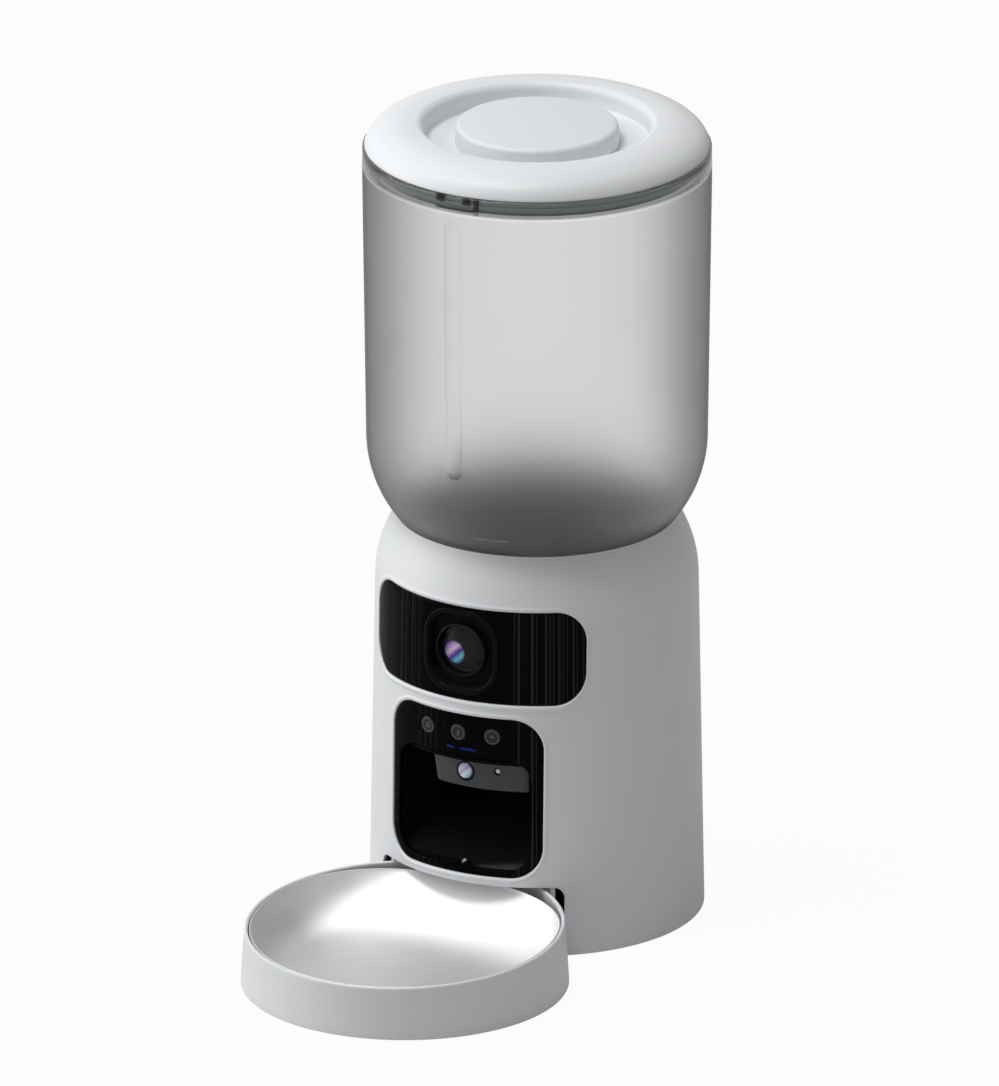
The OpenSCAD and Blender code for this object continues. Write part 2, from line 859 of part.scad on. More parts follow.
// Motor can with its flat gearbox, hung under the bracket
module gear_motor() {
    can_y = motor_y + gearbox_l * 0.1;
    low_z = bracket_z - gearbox_h;
    color([0.7, 0.71, 0.73])
    on_column()
        difference() {
            union() {
                translate([-gearbox_w / 2, motor_y - gearbox_l * 0.4, low_z])
                    cube([gearbox_w, gearbox_l, gearbox_h]);
                translate([0, can_y, low_z - can_h]) cylinder(r = can_r, h = can_h + 1);
                translate([0, can_y, low_z - can_h - 3]) cylinder(r = can_r * 0.3, h = 4);
            }
            translate([0, motor_y, bracket_z - 10])
                cylinder(r = motor_shaft_r + run_gap, h = 20);
        }
}

module shaft_bush() {
    color([0.75, 0.6, 0.3])
    on_column()
        difference() {
            translate([0, 0, chamber_z]) {
                cylinder(r = bush_r, h = floor_t);
                translate([0, 0, -bush_flange]) cylinder(r = bush_r + 2, h = bush_flange);
            }
            cylinder(r = shaft_r + run_gap, h = big);
        }
}

module main_board() {
    color([0.1, 0.35, 0.2])
    on_column()
        translate([-board_w / 2, bay_y0 + 18, bay_z1 + bay_wall + stud_h]) {
            cube([board_w, board_l, board_t]);
            translate([board_w * 0.35, board_l * 0.34, board_t]) cube([chip, chip, 1.4]);
            translate([board_w * 0.65, board_l * 0.3, board_t]) cube([chip * 0.75, chip / 2, 2]);
            translate([board_w * 0.08, board_l * 0.64, board_t]) cube([chip / 2, chip, 6]);
            translate([board_w * 0.8, board_l * 0.7, board_t]) cylinder(r = chip * 0.3, h = 11);
        }
}

module speaker() {
    color([0.2, 0.2, 0.21])
    on_column()
        translate([0, speaker_y, plate_top]) {
            difference() {
                cylinder(r = speaker_r, h = speaker_h);
                translate([0, 0, -tiny]) cylinder(r = speaker_r - 2.5, h = 2);
            }
            translate([0, 0, speaker_h]) cylinder(r = speaker_r / 2, h = 5);
        }
}

// Slot with round ends, as the power inlet's mouth has
module socket_outline(grow, depth) {
    half = (socket_w - socket_h) / 2;
    for (s = [-1, 1])
        translate([s * half, 0, 0]) cylinder(r = socket_h / 2 + grow, h = depth);
    translate([-half, -socket_h / 2 - grow, 0])
        cube([2 * half, socket_h + 2 * grow, depth]);
}

module power_socket() {
    back = base_r_at(socket_z);
    color([0.7, 0.71, 0.73])
    on_column()
        facing(180, socket_z)
            translate([0, 0, back - socket_l]) {
                difference() {
                    socket_outline(0, socket_l - 0.4);
                    translate([0, 0, 2]) socket_outline(-0.4, socket_l);
                }
                translate([-3.2, -0.35, 0]) cube([6.4, 0.7, 8]);
                translate([-8, -socket_h / 2 - 1.2, -socket_board]) cube([16, 1.2, 12]);
                translate([-6, plate_top - socket_z, -4])
                    cube([12, socket_z - plate_top - socket_h / 2 - 1.2, 6]);
            }
}

// Box for three reserve cells, open below, where the door closes it
module battery_box() {
    color([0.3, 0.31, 0.32])
    on_column() {
        difference() {
            translate([-bay_x - bay_wall, bay_y0 - bay_wall, plate_top])
                cube([2 * (bay_x + bay_wall), bay_y1 - bay_y0 + 2 * bay_wall,
                      bay_z1 + bay_wall - plate_top]);
            translate([-bay_x, bay_y0, 0])
                cube([2 * bay_x, bay_y1 - bay_y0, bay_z1]);
            translate([-latch_w / 2 - fit_gap, bay_y1 - tiny, 0])
                cube([latch_w + 2 * fit_gap, bay_wall + 1, plate_top + 3]);
        }
        for (x = [4 - board_w / 2, board_w / 2 - 4])
            for (y = [4, min(board_l - 4, bay_y1 + bay_wall - bay_y0 - 22)])
                translate([x, bay_y0 + 18 + y, bay_z1 + bay_wall]) cylinder(r = 2.5, h = stud_h);
    }
}

// Sprung contact plates on the two end walls of the bay
module battery_contacts() {
    color([0.8, 0.78, 0.7])
    on_column()
        for (i = [-1:1])
            for (end = [0, 1])
                translate([
                    i * cell_d - contact_w / 2,
                    end == 0 ? bay_y0 : bay_y1 - contact_t,
                    bay_z1 - cell_d / 2 - contact_w / 2
                ])
                    cube([contact_w, contact_t, contact_w]);
}

// Line that the battery door turns on, as a rod along it
module door_axis(r, l) {
    translate([0, hinge_y, plate_z + door_t / 2])
        rotate([0, 90, 0]) cylinder(r = r, h = l, center = true);
}

// Door with two pins at its front edge and a sprung tongue at its rear edge
module battery_door() {
    g = fit_gap;
    color([0.87, 0.88, 0.89])
    on_column()
        difference() {
            union() {
                door_axis(door_t / 2, 2 * (bay_x - g));
                door_axis(pin_r, 2 * (bay_x + pin_l));
                translate([-bay_x + g, hinge_y, plate_z])
                    cube([2 * bay_x - 2 * g, bay_y1 - g - hinge_y, door_t]);
                translate([-latch_w / 2, bay_y1 - 2, plate_z]) cube([latch_w, latch_l + 2, door_t]);
            }
            translate([-5, bay_y1 + 1, 0]) cube([10, 3, plate_z + 1.2]);
            for (i = [-2:2])
                translate([i * 8 - 1, bay_y0 + 14, 0]) cube([2, 24, plate_z + 0.6]);
        }
}

module hopper_section(inset) {
    intersection() {
        translate([bend_cx, bend_z]) circle(r = hopper_bend_r - inset);
        square([big, bend_z]);
    }
    translate([0, hopper_floor_z + inset]) square([bend_cx, bend_z - hopper_floor_z - inset]);
    polygon([
        [0, bend_z],
        [hopper_bend_start_r - inset, bend_z],
        [hopper_r - inset, rim_z + (inset > 0 ? tiny : 0)],
        [0, rim_z + (inset > 0 ? tiny : 0)]
    ]);
}

module hopper_tank() {
    strip_z1 = rim_z - 14.5;
    color([0.62, 0.64, 0.65, 0.55])
    on_column()
        difference() {
            union() {
                rotate_extrude()
                    difference() {
                        union() {
                            hopper_section(0);
                            translate([0, neck_z]) square([outlet_r, bend_z - neck_z]);
                        }
                        hopper_section(hopper_wall);
                        square([outlet_r - hopper_wall, bend_z]);
                    }
                for (a = [0, 120, 240])
                    ring_sector(liner_r + fit_gap, tank_r_at(liner_z) - hopper_wall / 2,
                                a + lug_half + 1.2, a + lug_half + 2.4,
                                liner_z - 6, liner_z + liner_t);
            }
            sight_strip(strip_z1 - sight_h, strip_z1, sight_w / 2, 0.5);
        }
}

// Shallow sunk strip with round ends, on the front of the hopper's wall
module sight_strip(z0, z1, end_r, depth) {
    intersection() {
        union() {
            translate([-end_r, -100, z0 + end_r]) cube([2 * end_r, 90, z1 - z0 - 2 * end_r]);
            for (z = [z0 + end_r, z1 - end_r])
                facing(0, z) cylinder(r = end_r, h = 100);
        }
        rotate_extrude()
            polygon([
                [hopper_bend_start_r - depth, bend_z - 5],
                [hopper_bend_start_r + 5, bend_z - 5],
                [hopper_r + 5, rim_z],
                [hopper_r - depth, rim_z]
            ]);
    }
}

module outlet_seal() {
    color([0.3, 0.31, 0.32])
    on_column()
        translate([0, 0, neck_z - 1])
            difference() {
                cylinder(r = outlet_r, h = 1);
                translate([0, 0, -tiny]) cylinder(r = outlet_r - hopper_wall, h = 2);
            }
}

// Section of the lid's puffed ring, drawn in by a given amount and open below
module lid_section(inset) {
    lip_x = channel_r + channel_lip;
    low = lid_z - (inset > 0 ? 1 : 0);
    difference() {
        union() {
            translate([lid_r - lid_edge_r, lid_edge_z]) circle(r = lid_edge_r - inset);
            intersection() {
                translate([crest_cx, crest_cz]) circle(r = lid_crest_r - inset);
                translate([crest_cx, lid_edge_z])
                    square([lid_r - lid_edge_r + (lid_edge_r - inset) * cos(lid_turn) - crest_cx,
                            big]);
            }
            translate([lip_x, low]) square([crest_cx - lip_x, crest_z - inset - low]);
            translate([channel_r + inset, low])
                square([channel_lip, crest_z - channel_lip - low]);
            translate([lip_x, crest_z - channel_lip]) circle(r = channel_lip - inset);
        }
        square([big, low]);
    }
}

module lid_shell() {
    color([0.92, 0.93, 0.94])
    on_column()
        rotate_extrude() {
            difference() {
                lid_section(0);
                lid_section(lid_wall);
            }
            translate([pack_hole_r, channel_z - lid_wall])
                square([channel_r + lid_wall - pack_hole_r, lid_wall]);
            translate([channel_r, channel_z - lid_wall])
                square([lid_wall, lid_z + lid_wall - channel_z + lid_wall]);
            translate([liner_r - lid_wall, liner_z + liner_t])
                square([lid_wall, lid_z - liner_z]);
            translate([liner_r - lid_wall, lid_z]) square([skirt_r - liner_r + lid_wall, 1]);
        }
}

// Round grip in the middle of the channel, closed on top
module lid_grip() {
    edge = grip_foot_r - grip_r;
    t = lid_wall;
    color([0.88, 0.9, 0.91])
    on_column()
        rotate_extrude()
            difference() {
                polygon([
                    [0, channel_z],
                    [grip_foot_r + 0.6, channel_z],
                    [grip_foot_r, grip_top - edge],
                    [grip_r + 0.6, grip_top - 0.5],
                    [grip_r, grip_top],
                    [0, grip_top]
                ]);
                translate([0, channel_z - tiny])
                    square([grip_foot_r - edge, grip_top - t - channel_z]);
            }
}

// Plate that closes the lid from below, with the hole of the desiccant cover
module lid_liner() {
    color([0.85, 0.86, 0.87])
    on_column() {
        rotate_extrude()
            difference() {
                translate([0, liner_z]) square([liner_r, liner_t]);
                translate([0, liner_z - tiny]) square([cover_r + fit_gap, liner_t + 1]);
            }
        for (a = [0, 120, 240])
            ring_sector(liner_r - 1, skirt_r - 0.2, a - lug_half, a + lug_half, liner_z,
                        liner_z + liner_t);
        rotate_extrude()
            translate([cover_r + fit_gap, liner_z + liner_t])
                square([lid_wall, channel_z - lid_wall - liner_z - liner_t]);
    }
}

module lid_seal() {
    color([0.28, 0.29, 0.29])
    on_column()
        rotate_extrude() {
            translate([liner_r, liner_z + liner_t]) square([1.2, lid_z - liner_z - liner_t]);
            for (k = [0.25, 0.6])
                translate([liner_r, liner_z + liner_t + k * seal_band_h * 0.8])
                    square([skirt_r - liner_r, 1.1]);
        }
}

module desiccant_pack() {
    color([0.93, 0.93, 0.9])
    on_column()
        translate([0, 0, liner_z + liner_t + 0.3])
            rotate_extrude() {
                square([pack_hole_r - 8, 9]);
                translate([0, 2]) square([pack_hole_r - 5, 5]);
            }
}

// Pierced cover under the desiccant pack
module desiccant_cover() {
    color([0.85, 0.86, 0.87])
    on_column()
        difference() {
            translate([0, 0, liner_z]) cylinder(r = cover_r, h = liner_t);
            for (ring = [1:3])
                for (k = [0:ring * 6 - 1])
                    rotate([0, 0, k * 60 / ring]) translate([ring * 7.5, 0, liner_z - 1])
                        cylinder(r = 1.6, h = liner_t + 2);
        }
}

module rotor_shaft() {
    color([0.75, 0.76, 0.78])
    on_column()
        translate([0, 0, bracket_z]) cylinder(r = shaft_r, h = shaft_top - bracket_z);
}

module rotor_hub() {
    color([0.82, 0.83, 0.84])
    on_column()
        difference() {
            union() {
                translate([0, 0, rotor_z]) cylinder(r = hub_r, h = paddle_h);
                intersection() {
                    translate([0, 0, rotor_z + paddle_h - sqrt(pow(hub_dome_r, 2) - pow(hub_r, 2))])
                        sphere(r = hub_dome_r);
                    translate([0, 0, rotor_z + 1]) cylinder(r = hub_r, h = big);
                }
            }
            cylinder(r = shaft_r + tiny, h = shaft_top);
        }
}

// Soft paddles with a rounded free corner, seated on the hub
module rotor_paddles() {
    color([0.35, 0.36, 0.37])
    on_column()
        for (k = [0:paddles - 1])
            rotate([0, 0, (k + 0.5) * 360 / paddles - 90])
                difference() {
                    translate([hub_r - 1, -paddle_t / 2, rotor_z])
                        cube([paddle_r - hub_r + 1, paddle_t, paddle_h]);
                    translate([0, 0, rotor_z - 1]) cylinder(r = hub_r, h = paddle_h + 2);
                    translate([paddle_r - paddle_round, 0, rotor_z + paddle_h - paddle_round])
                        rotate([90, 0, 0])
                            linear_extrude(20, center = true)
                                difference() {
                                    square(paddle_round + 1);
                                    circle(r = paddle_round);
                                }
                }
}

// Point on the involute of a base circle
function involute(rb, t) = [
    rb * (cos(t) + t * PI / 180 * sin(t)),
    rb * (sin(t) - t * PI / 180 * cos(t))
];
// Roll angle at which the involute reaches a radius
function roll(rb, r) = r <= rb ? 0 : sqrt(pow(r / rb, 2) - 1) * 180 / PI;
function polar(p) = [norm(p), atan2(p[1], p[0])];

// One gear tooth as radius and angle pairs, from root to root
function tooth(teeth, m, steps = 3) =
    let (
        rp = m * teeth / 2,
        rb = rp * cos(20),
        ra = rp + m,
        rf = rp - 1.25 * m,
        at_pitch = polar(involute(rb, roll(rb, rp)))[1],
        half = 90 / teeth - backlash / rp * 90 / PI,
        start = max(rb, rf),
        flank = [for (k = [0:steps])
            let (p = polar(involute(rb, roll(rb, start + (ra - start) * k / steps))))
            [p[0], p[1] - at_pitch - half]]
    )
    concat(
        [[rf, flank[0][1]]],
        flank,
        [for (k = [steps:-1:0]) [flank[k][0], -flank[k][1]]],
        [[rf, -flank[0][1]]]
    );

module gear_profile(teeth, m) {
    points = tooth(teeth, m);
    polygon([
        for (i = [0:teeth - 1])
            for (p = points)
                [p[0] * cos(p[1] + i * 360 / teeth), p[0] * sin(p[1] + i * 360 / teeth)]
    ]);
}

module drive_gear() {
    color([0.9, 0.88, 0.82])
    on_column()
        translate([0, 0, gear_z])
            rotate([0, 0, 90])
                difference() {
                    union() {
                        linear_extrude(gear_w) gear_profile(gear_teeth, gear_module);
                        translate([0, 0, fit_gap - gear_lift])
                            cylinder(r = shaft_r + 4, h = gear_w + gear_lift + 1);
                    }
                    translate([0, 0, -gear_lift]) cylinder(r = shaft_r + tiny, h = gear_w + 10);
                    for (k = [0:4])
                        rotate([0, 0, k * 72]) translate([gear_pitch * 0.6, 0, -1])
                            cylinder(r = gear_pitch * 0.18, h = gear_w + 2);
                }
}

module motor_shaft() {
    color([0.75, 0.76, 0.78])
    on_column()
        translate([0, motor_y, bracket_z - 9])
            cylinder(r = motor_shaft_r, h = gear_z + gear_w - bracket_z + 10);
}

module motor_pinion() {
    color([0.9, 0.88, 0.82])
    on_column()
        translate([0, motor_y, gear_z])
            rotate([0, 0, -90 + mesh_turn])
                difference() {
                    linear_extrude(gear_w) gear_profile(pinion_teeth, gear_module);
                    translate([0, 0, -1]) cylinder(r = motor_shaft_r + tiny, h = gear_w + 2);
                }
}

// Everything above the tilted plane of the tray's rim, lowered by a given amount
module above_rim(drop) {
    translate([0, 0, tray_rim_z - drop])
        rotate([tray_tilt, 0, 0])
            translate([-100, -100, 0]) cube([200, 200, 60]);
}

// Everything behind the ramp's plane, moved out along its normal by a given amount
module behind_ramp(shift) {
    translate([0, ramp_foot, bowl_floor_z])
        rotate([ramp_slope, 0, 0])
            translate([-100, -60, -100 - shift]) cube([200, 160, 100]);
}

module feed_tray() {
    color([0.9, 0.91, 0.92])
    on_column()
        translate([0, tray_y, 0])
            difference() {
                translate([0, 0, tray_rise])
                    cylinder(r1 = tray_r, r2 = tray_r_at(tray_top), h = tray_top - tray_rise);
                above_rim(0);
                difference() {
                    translate([0, 0, tray_floor_z])
                        cylinder(r1 = tray_r_at(tray_floor_z) - tray_wall,
                                 r2 = tray_r_at(tray_top) - tray_wall, h = tray_top - tray_floor_z);
                    for (r = tray_rib_rings)
                        difference() {
                            cylinder(r = r, h = bowl_floor_z - bowl_t);
                            translate([0, 0, -1]) cylinder(r = r - tray_rib_t, h = 20);
                        }
                    for (a = [0:60:300])
                        rotate([0, 0, a]) translate([tray_rib_rings[1] - 1, -tray_rib_t / 2, 0])
                            cube([tray_r - tray_rib_rings[1], tray_rib_t,
                                  bowl_floor_z - 2 * bowl_t]);
                }
                for (a = [45:90:315])
                    rotate([0, 0, a]) translate([tray_r - 14, 0, 0])
                        cylinder(r = 5.1, h = tray_rise + 1);
            }
}

module tray_feet() {
    color([0.35, 0.35, 0.36])
    on_column()
        translate([0, tray_y, 0])
            for (a = [45:90:315])
                rotate([0, 0, a]) translate([tray_r - 14, 0, 0])
                    cylinder(r = 5, h = tray_rise + 1);
}

// Section of the bowl's dish, drawn in by a given amount
module dish_section(inset) {
    r = bowl_r - inset;
    z = bowl_floor_z - bowl_t + inset;
    bend = bowl_bend_r + bowl_t - inset;
    translate([0, z]) square([r - bend, 60 - z]);
    translate([r - bend, z + bend]) circle(r = bend);
    translate([0, z + bend]) square([r, 60 - z - bend]);
}

module dish_half(inset) {
    intersection() {
        dish_section(inset);
        square([big, 60]);
    }
}

module steel_bowl() {
    color([0.75, 0.76, 0.78])
    on_column()
        translate([0, tray_y, 0])
            difference() {
                rotate_extrude() dish_half(0);
                behind_ramp(bowl_t);
                difference() {
                    rotate_extrude() dish_half(bowl_t);
                    behind_ramp(0);
                }
                above_rim(1);
            }
}

base_shell();
base_plate();
rubber_feet();
base_screws();
hopper_seat();
rotor_chamber();
portion_baffle();
chute_liner();
tray_dock();
camera_window();
camera_bezel();
camera_barrel();
camera_lens();
camera_board();
control_panel();
key_board();
sensor_bar();
bowl_camera();
bowl_camera_lens();
sensor_eye();
status_light();
motor_bracket();
gear_motor();
shaft_bush();
main_board();
speaker();
power_socket();
battery_box();
battery_contacts();
battery_door();
hopper_tank();
outlet_seal();
lid_shell();
lid_grip();
lid_liner();
lid_seal();
desiccant_pack();
desiccant_cover();
rotor_shaft();
rotor_hub();
rotor_paddles();
drive_gear();
motor_shaft();
motor_pinion();
feed_tray();
steel_bowl();
tray_feet();
feed_key();
talk_key();
reset_key();
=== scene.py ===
import math

import bmesh
import bpy
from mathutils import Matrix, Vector
from mathutils.geometry import delaunay_2d_cdt


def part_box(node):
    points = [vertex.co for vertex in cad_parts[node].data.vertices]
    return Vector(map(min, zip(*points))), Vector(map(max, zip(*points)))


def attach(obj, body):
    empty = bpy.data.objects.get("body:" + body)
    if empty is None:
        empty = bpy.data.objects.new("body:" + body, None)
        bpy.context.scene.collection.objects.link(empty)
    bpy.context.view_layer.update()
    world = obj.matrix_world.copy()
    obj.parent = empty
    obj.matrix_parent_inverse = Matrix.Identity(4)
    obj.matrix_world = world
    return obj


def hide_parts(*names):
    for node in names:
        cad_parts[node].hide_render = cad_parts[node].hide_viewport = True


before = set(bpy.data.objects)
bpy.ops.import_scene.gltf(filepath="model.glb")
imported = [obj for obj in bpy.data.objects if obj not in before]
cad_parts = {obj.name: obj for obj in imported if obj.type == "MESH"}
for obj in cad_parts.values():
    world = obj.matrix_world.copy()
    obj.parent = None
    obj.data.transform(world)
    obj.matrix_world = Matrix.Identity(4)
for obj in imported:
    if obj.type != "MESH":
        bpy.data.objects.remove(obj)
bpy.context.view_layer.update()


# The photographer's camera.
# A long lens far away, 29 degrees to the right of the front and 20.4 degrees down, which
# draws upright lines upright as the picture does. It is aimed so that no shift is needed.
# Lengths are in millimetres, apart from those of the floor and the lamps, in metres.
MM = 0.001
tank_low, tank_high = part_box("hopper_tank")
column_y = (tank_low.y + tank_high.y) / 2 / MM
azimuth, elevation = math.radians(29.0), math.radians(20.4)
distance, pixels_per_mm, sensor_h, picture_w, picture_h = 20000.0, 1.93, 36.0, 999, 1086
right = Vector((math.cos(azimuth), math.sin(azimuth), 0))
to_camera = Vector((
    math.sin(azimuth) * math.cos(elevation),
    -math.cos(azimuth) * math.cos(elevation),
    math.sin(elevation),
))
up = to_camera.cross(right)
axis_aside, axis_below = 537.0 - picture_w / 2, 537.5 - picture_h / 2
aim = Vector((0, column_y, 200)) + (up * axis_below - right * axis_aside) / pixels_per_mm


def link(made):
    bpy.context.scene.collection.objects.link(made)
    return made


camera_data = bpy.data.cameras.new("camera")
camera_data.sensor_fit = "VERTICAL"
camera_data.sensor_height = sensor_h
camera_data.lens = pixels_per_mm * distance * sensor_h / picture_h
camera_data.clip_end = 2 * distance * MM
camera = link(bpy.data.objects.new("camera", camera_data))
camera.location = (aim + to_camera * distance) * MM
camera.rotation_euler = to_camera.to_track_quat("Z", "Y").to_euler()
bpy.context.scene.camera = camera
bpy.context.scene.view_settings.view_transform = "Standard"


# Floor, backdrop and light.
# One pale sheet is all that the object stands on. A broad lamp stands at the left, a second
# one hangs above on the left, and the room gives an even fill, so the right is lit less.
def operation(kind, swapped=False):
    """A method that adds one Math node of a kind."""
    def method(self, *others):
        values = (*others, self) if swapped else (self, *others)
        return self.tree.node("ShaderNodeMath", {"operation": kind}, *values)
    return method


class Amount:
    """A number that changes over a surface. Sums on it add Math nodes."""
    def __init__(self, tree, socket):
        self.tree, self.socket = tree, socket

    __add__ = __radd__ = operation("ADD")
    __mul__ = __rmul__ = operation("MULTIPLY")
    __sub__, __rsub__ = operation("SUBTRACT"), operation("SUBTRACT", swapped=True)
    __truediv__, __pow__ = operation("DIVIDE"), operation("POWER")
    size, least, most = operation("ABSOLUTE"), operation("MINIMUM"), operation("MAXIMUM")
    bearing = operation("ARCTAN2")

    def turn(self, ahead):
        """The turn in degrees of a point this far to the side and so far ahead."""
        return self.bearing(ahead) * (180 / math.pi)

    def step(self, low, high):
        """0 below low, 1 above high, and smooth between them."""
        return self.tree.node("ShaderNodeMapRange", {"interpolation_type": "SMOOTHSTEP"},
                              self, low, high, 0.0, 1.0)


class Nodes:
    """A node tree that is added to."""
    def __init__(self, tree):
        self.tree = tree

    def node(self, kind, settings, *values, output=0, **named):
        """Adds a node: its type, its settings, then the values or links of its sockets."""
        made = self.tree.nodes.new(kind)
        for name, value in settings.items():
            if name == "stops":
                ramp = made.color_ramp.elements
                while len(ramp) < len(value):
                    ramp.new(1)
                for spot, (place, colour) in zip(ramp, value):
                    spot.position, spot.color = place, (*colour, 1)
            else:
                setattr(made, name, value)
        for key, value in list(enumerate(values)) + list(named.items()):
            if isinstance(value, Amount):
                self.tree.links.new(value.socket, made.inputs[key])
            elif value is not None:
                made.inputs[key].default_value = value
        return Amount(self, made.outputs[output])

    def ray(self, kind):
        return self.node("ShaderNodeLightPath", {}, output=f"Is {kind} Ray")

    def show(self, share, first, second, end):
        """Shows a mix of two shaders at the tree's end."""
        lit = self.node("ShaderNodeMixShader", {}, share, first, second)
        self.tree.links.new(lit.socket, self.tree.nodes[end].inputs["Surface"])


class Finish(Nodes):
    """One Principled material. Constants go straight onto its sockets."""
    def __init__(self, name, **constants):
        self.material = bpy.data.materials.new(name)
        self.material.use_nodes = True
        super().__init__(self.material.node_tree)
        self.surface = self.tree.nodes["Principled BSDF"]
        for socket, value in constants.items():
            self.surface.inputs[socket.replace("_", " ")].default_value = value

    def place(self):
        """Where a point is on the object, in metres."""
        return self.node("ShaderNodeTexCoord", {}, output="Object")

    def here(self):
        """A point's millimetres to the side, ahead of the column's axis, and up."""
        side, back, up = (self.node("ShaderNodeSeparateXYZ", {}, self.place(), output=axis)
                          * (1 / MM) for axis in "XYZ")
        return side, column_y - back, up

    def grain(self, per_mm, detail=2.0, spot=None):
        """Soft noise round 0.5 with about that many specks in a millimetre. Its spot is the
        point itself, unless three other numbers in millimetres are given."""
        if spot:
            place = self.node("ShaderNodeCombineXYZ", {},
                              *(value * MM if value else 0.0 for value in spot))
        return self.node("ShaderNodeTexNoise", {}, place if spot else self.place(),
                         Scale=per_mm / MM, Detail=detail)

    def mix(self, amount, first, second):
        """A colour between two colours."""
        first, second = ((*c, 1) if isinstance(c, tuple) else c for c in (first, second))
        return self.node("ShaderNodeMix", {"data_type": "RGBA"}, amount, *[None] * 5,
                         first, second, output=2)

    def feed(self, socket, value):
        self.tree.links.new(value.socket, self.surface.inputs[socket])
        return self

    def colour(self, amount, first, second):
        return self.feed("Base Color", self.mix(amount, first, second))

    def rough(self, least, spread, per_mm):
        return self.feed("Roughness", least + spread * self.grain(per_mm))

    def bump(self, height, depth):
        """Raises the surface by height times a depth in millimetres."""
        return self.feed("Normal", self.node("ShaderNodeBump", {}, Strength=1.0,
                                             Distance=depth * MM, Height=height))


paper = Finish("backdrop_paper", Base_Color=(0.6, 0.6, 0.6, 1), Roughness=0.9)
seen = paper.ray("Camera") + paper.ray("Transmission") + paper.ray("Glossy") * 0.35
paper.show(seen * 0.96, Amount(paper, paper.surface.outputs[0]),
           paper.node("ShaderNodeEmission", {}, (1, 1, 1, 1), 1.0), "Material Output")

floor_half = 12.0
floor_mesh = bpy.data.meshes.new("floor")
floor_mesh.from_pydata([(x * floor_half, y * floor_half, 0)
                        for x, y in ((-1, -1), (1, -1), (1, 1), (-1, 1))],
                       [], [(0, 1, 2, 3)])
floor_mesh.materials.append(paper.material)
floor = link(bpy.data.objects.new("floor", floor_mesh))
floor.location.z = -0.0002


def lamp(name, toward, far, width, height, watts):
    """A soft box that looks at the middle of the object from a direction."""
    data = bpy.data.lights.new(name, "AREA")
    data.shape, data.size, data.size_y, data.energy = "RECTANGLE", width, height, watts
    made = link(bpy.data.objects.new(name, data))
    direction = Vector(toward).normalized()
    made.location = Vector((0, 0, 0.2)) + direction * far
    made.rotation_euler = direction.to_track_quat("Z", "Y").to_euler()


lamp("left_soft_box", (-0.93, -0.37, 0.33), 2.2, 1.6, 1.9, 23)
lamp("top_soft_box", (-0.2, -0.22, 1.0), 1.9, 0.8, 0.8, 18)

world = bpy.data.worlds.new("room")
world.use_nodes = True
bpy.context.scene.world = world
room = Nodes(world.node_tree)
room.show(room.ray("Glossy") * 0.55 + room.ray("Camera").most(room.ray("Transmission")),
          room.node("ShaderNodeBackground", {}, (0.97, 0.985, 1.0, 1), 0.3),
          room.node("ShaderNodeBackground", {}, (0.8, 0.8, 0.8, 1), 1.0), "World Output")


# Base shell.
# The white moulded housing: a slightly tapered tube with a round shoulder, two wrapped
# windows with a raised bead round each, an arch in its foot that lets the tray in, and a
# slot low at the back for the power inlet.
base_r, base_top_r, shoulder_z, shoulder_r, seat_r = 87.1, 83.9, 180.5, 64.2, 73.0
base_foot_z, base_wall, seat_gap = 1.0, 2.8, 0.3
shoulder_cx = base_top_r - shoulder_r
seat_z = shoulder_z + math.sqrt(shoulder_r ** 2 - (seat_r - shoulder_cx) ** 2)
tank_round_r, tank_round_cx = 67.0, 21.5
tank_round_z = seat_z + math.sqrt(tank_round_r ** 2 - (seat_r - tank_round_cx) ** 2)


def base_r_at(z):
    return base_r - (base_r - base_top_r) * z / shoulder_z


class Outline:
    """A curve of radius and height, measured by the length along it."""
    def __init__(self, points):
        self.points = points
        self.along = [0.0]
        for (r0, z0), (r1, z1) in zip(points, points[1:]):
            self.along.append(self.along[-1] + math.hypot(r1 - r0, z1 - z0))
        self.length = self.along[-1]

    def at(self, v, rise=0.0):
        """Radius and height at a length, moved out along the normal by the rise."""
        k = 0
        while k < len(self.points) - 2 and self.along[k + 1] < v:
            k += 1
        (r0, z0), (r1, z1) = self.points[k], self.points[k + 1]
        span = self.along[k + 1] - self.along[k]
        t = (v - self.along[k]) / span
        return (r0 + (r1 - r0) * t + rise * (z1 - z0) / span,
                z0 + (z1 - z0) * t - rise * (r1 - r0) / span)

    def v_of(self, z):
        """Length along the curve at a height, on a curve that only climbs."""
        for k, ((r0, z0), (r1, z1)) in enumerate(zip(self.points, self.points[1:])):
            if z <= z1 or k == len(self.points) - 2:
                v0, v1 = self.along[k:k + 2]
                return v0 + (z - z0) / (z1 - z0) * (v1 - v0)

    def cut(self, points, rise, turn=0.0):
        """Flat points of an edge that is cut straight back. Its points go across and up."""
        flats = [(x, self.v_of(z)) for x, z in points]
        return [(turn + math.degrees(math.asin(x / self.at(v, rise)[0])), v)
                for x, v in flats]


def arc(cx, cz, r, start, end, steps):
    """Points of a circle's arc, in degrees from the outward direction, ends included."""
    return [(cx + r * math.cos(math.radians(start + (end - start) * k / steps)),
             cz + r * math.sin(math.radians(start + (end - start) * k / steps)))
            for k in range(steps + 1)]


def spaced(a, b, most):
    """Numbers from a to b, both included, no further apart than a given step."""
    n = max(1, math.ceil(abs(b - a) / most))
    return [a + (b - a) * k / n for k in range(n + 1)]


def inside(point, loop):
    x, y = point
    crossed = False
    for (x0, y0), (x1, y1) in zip(loop, loop[1:] + loop[:1]):
        if (y0 > y) != (y1 > y) and x < (x1 - x0) * (y - y0) / (y1 - y0) + x0:
            crossed = not crossed
    return crossed


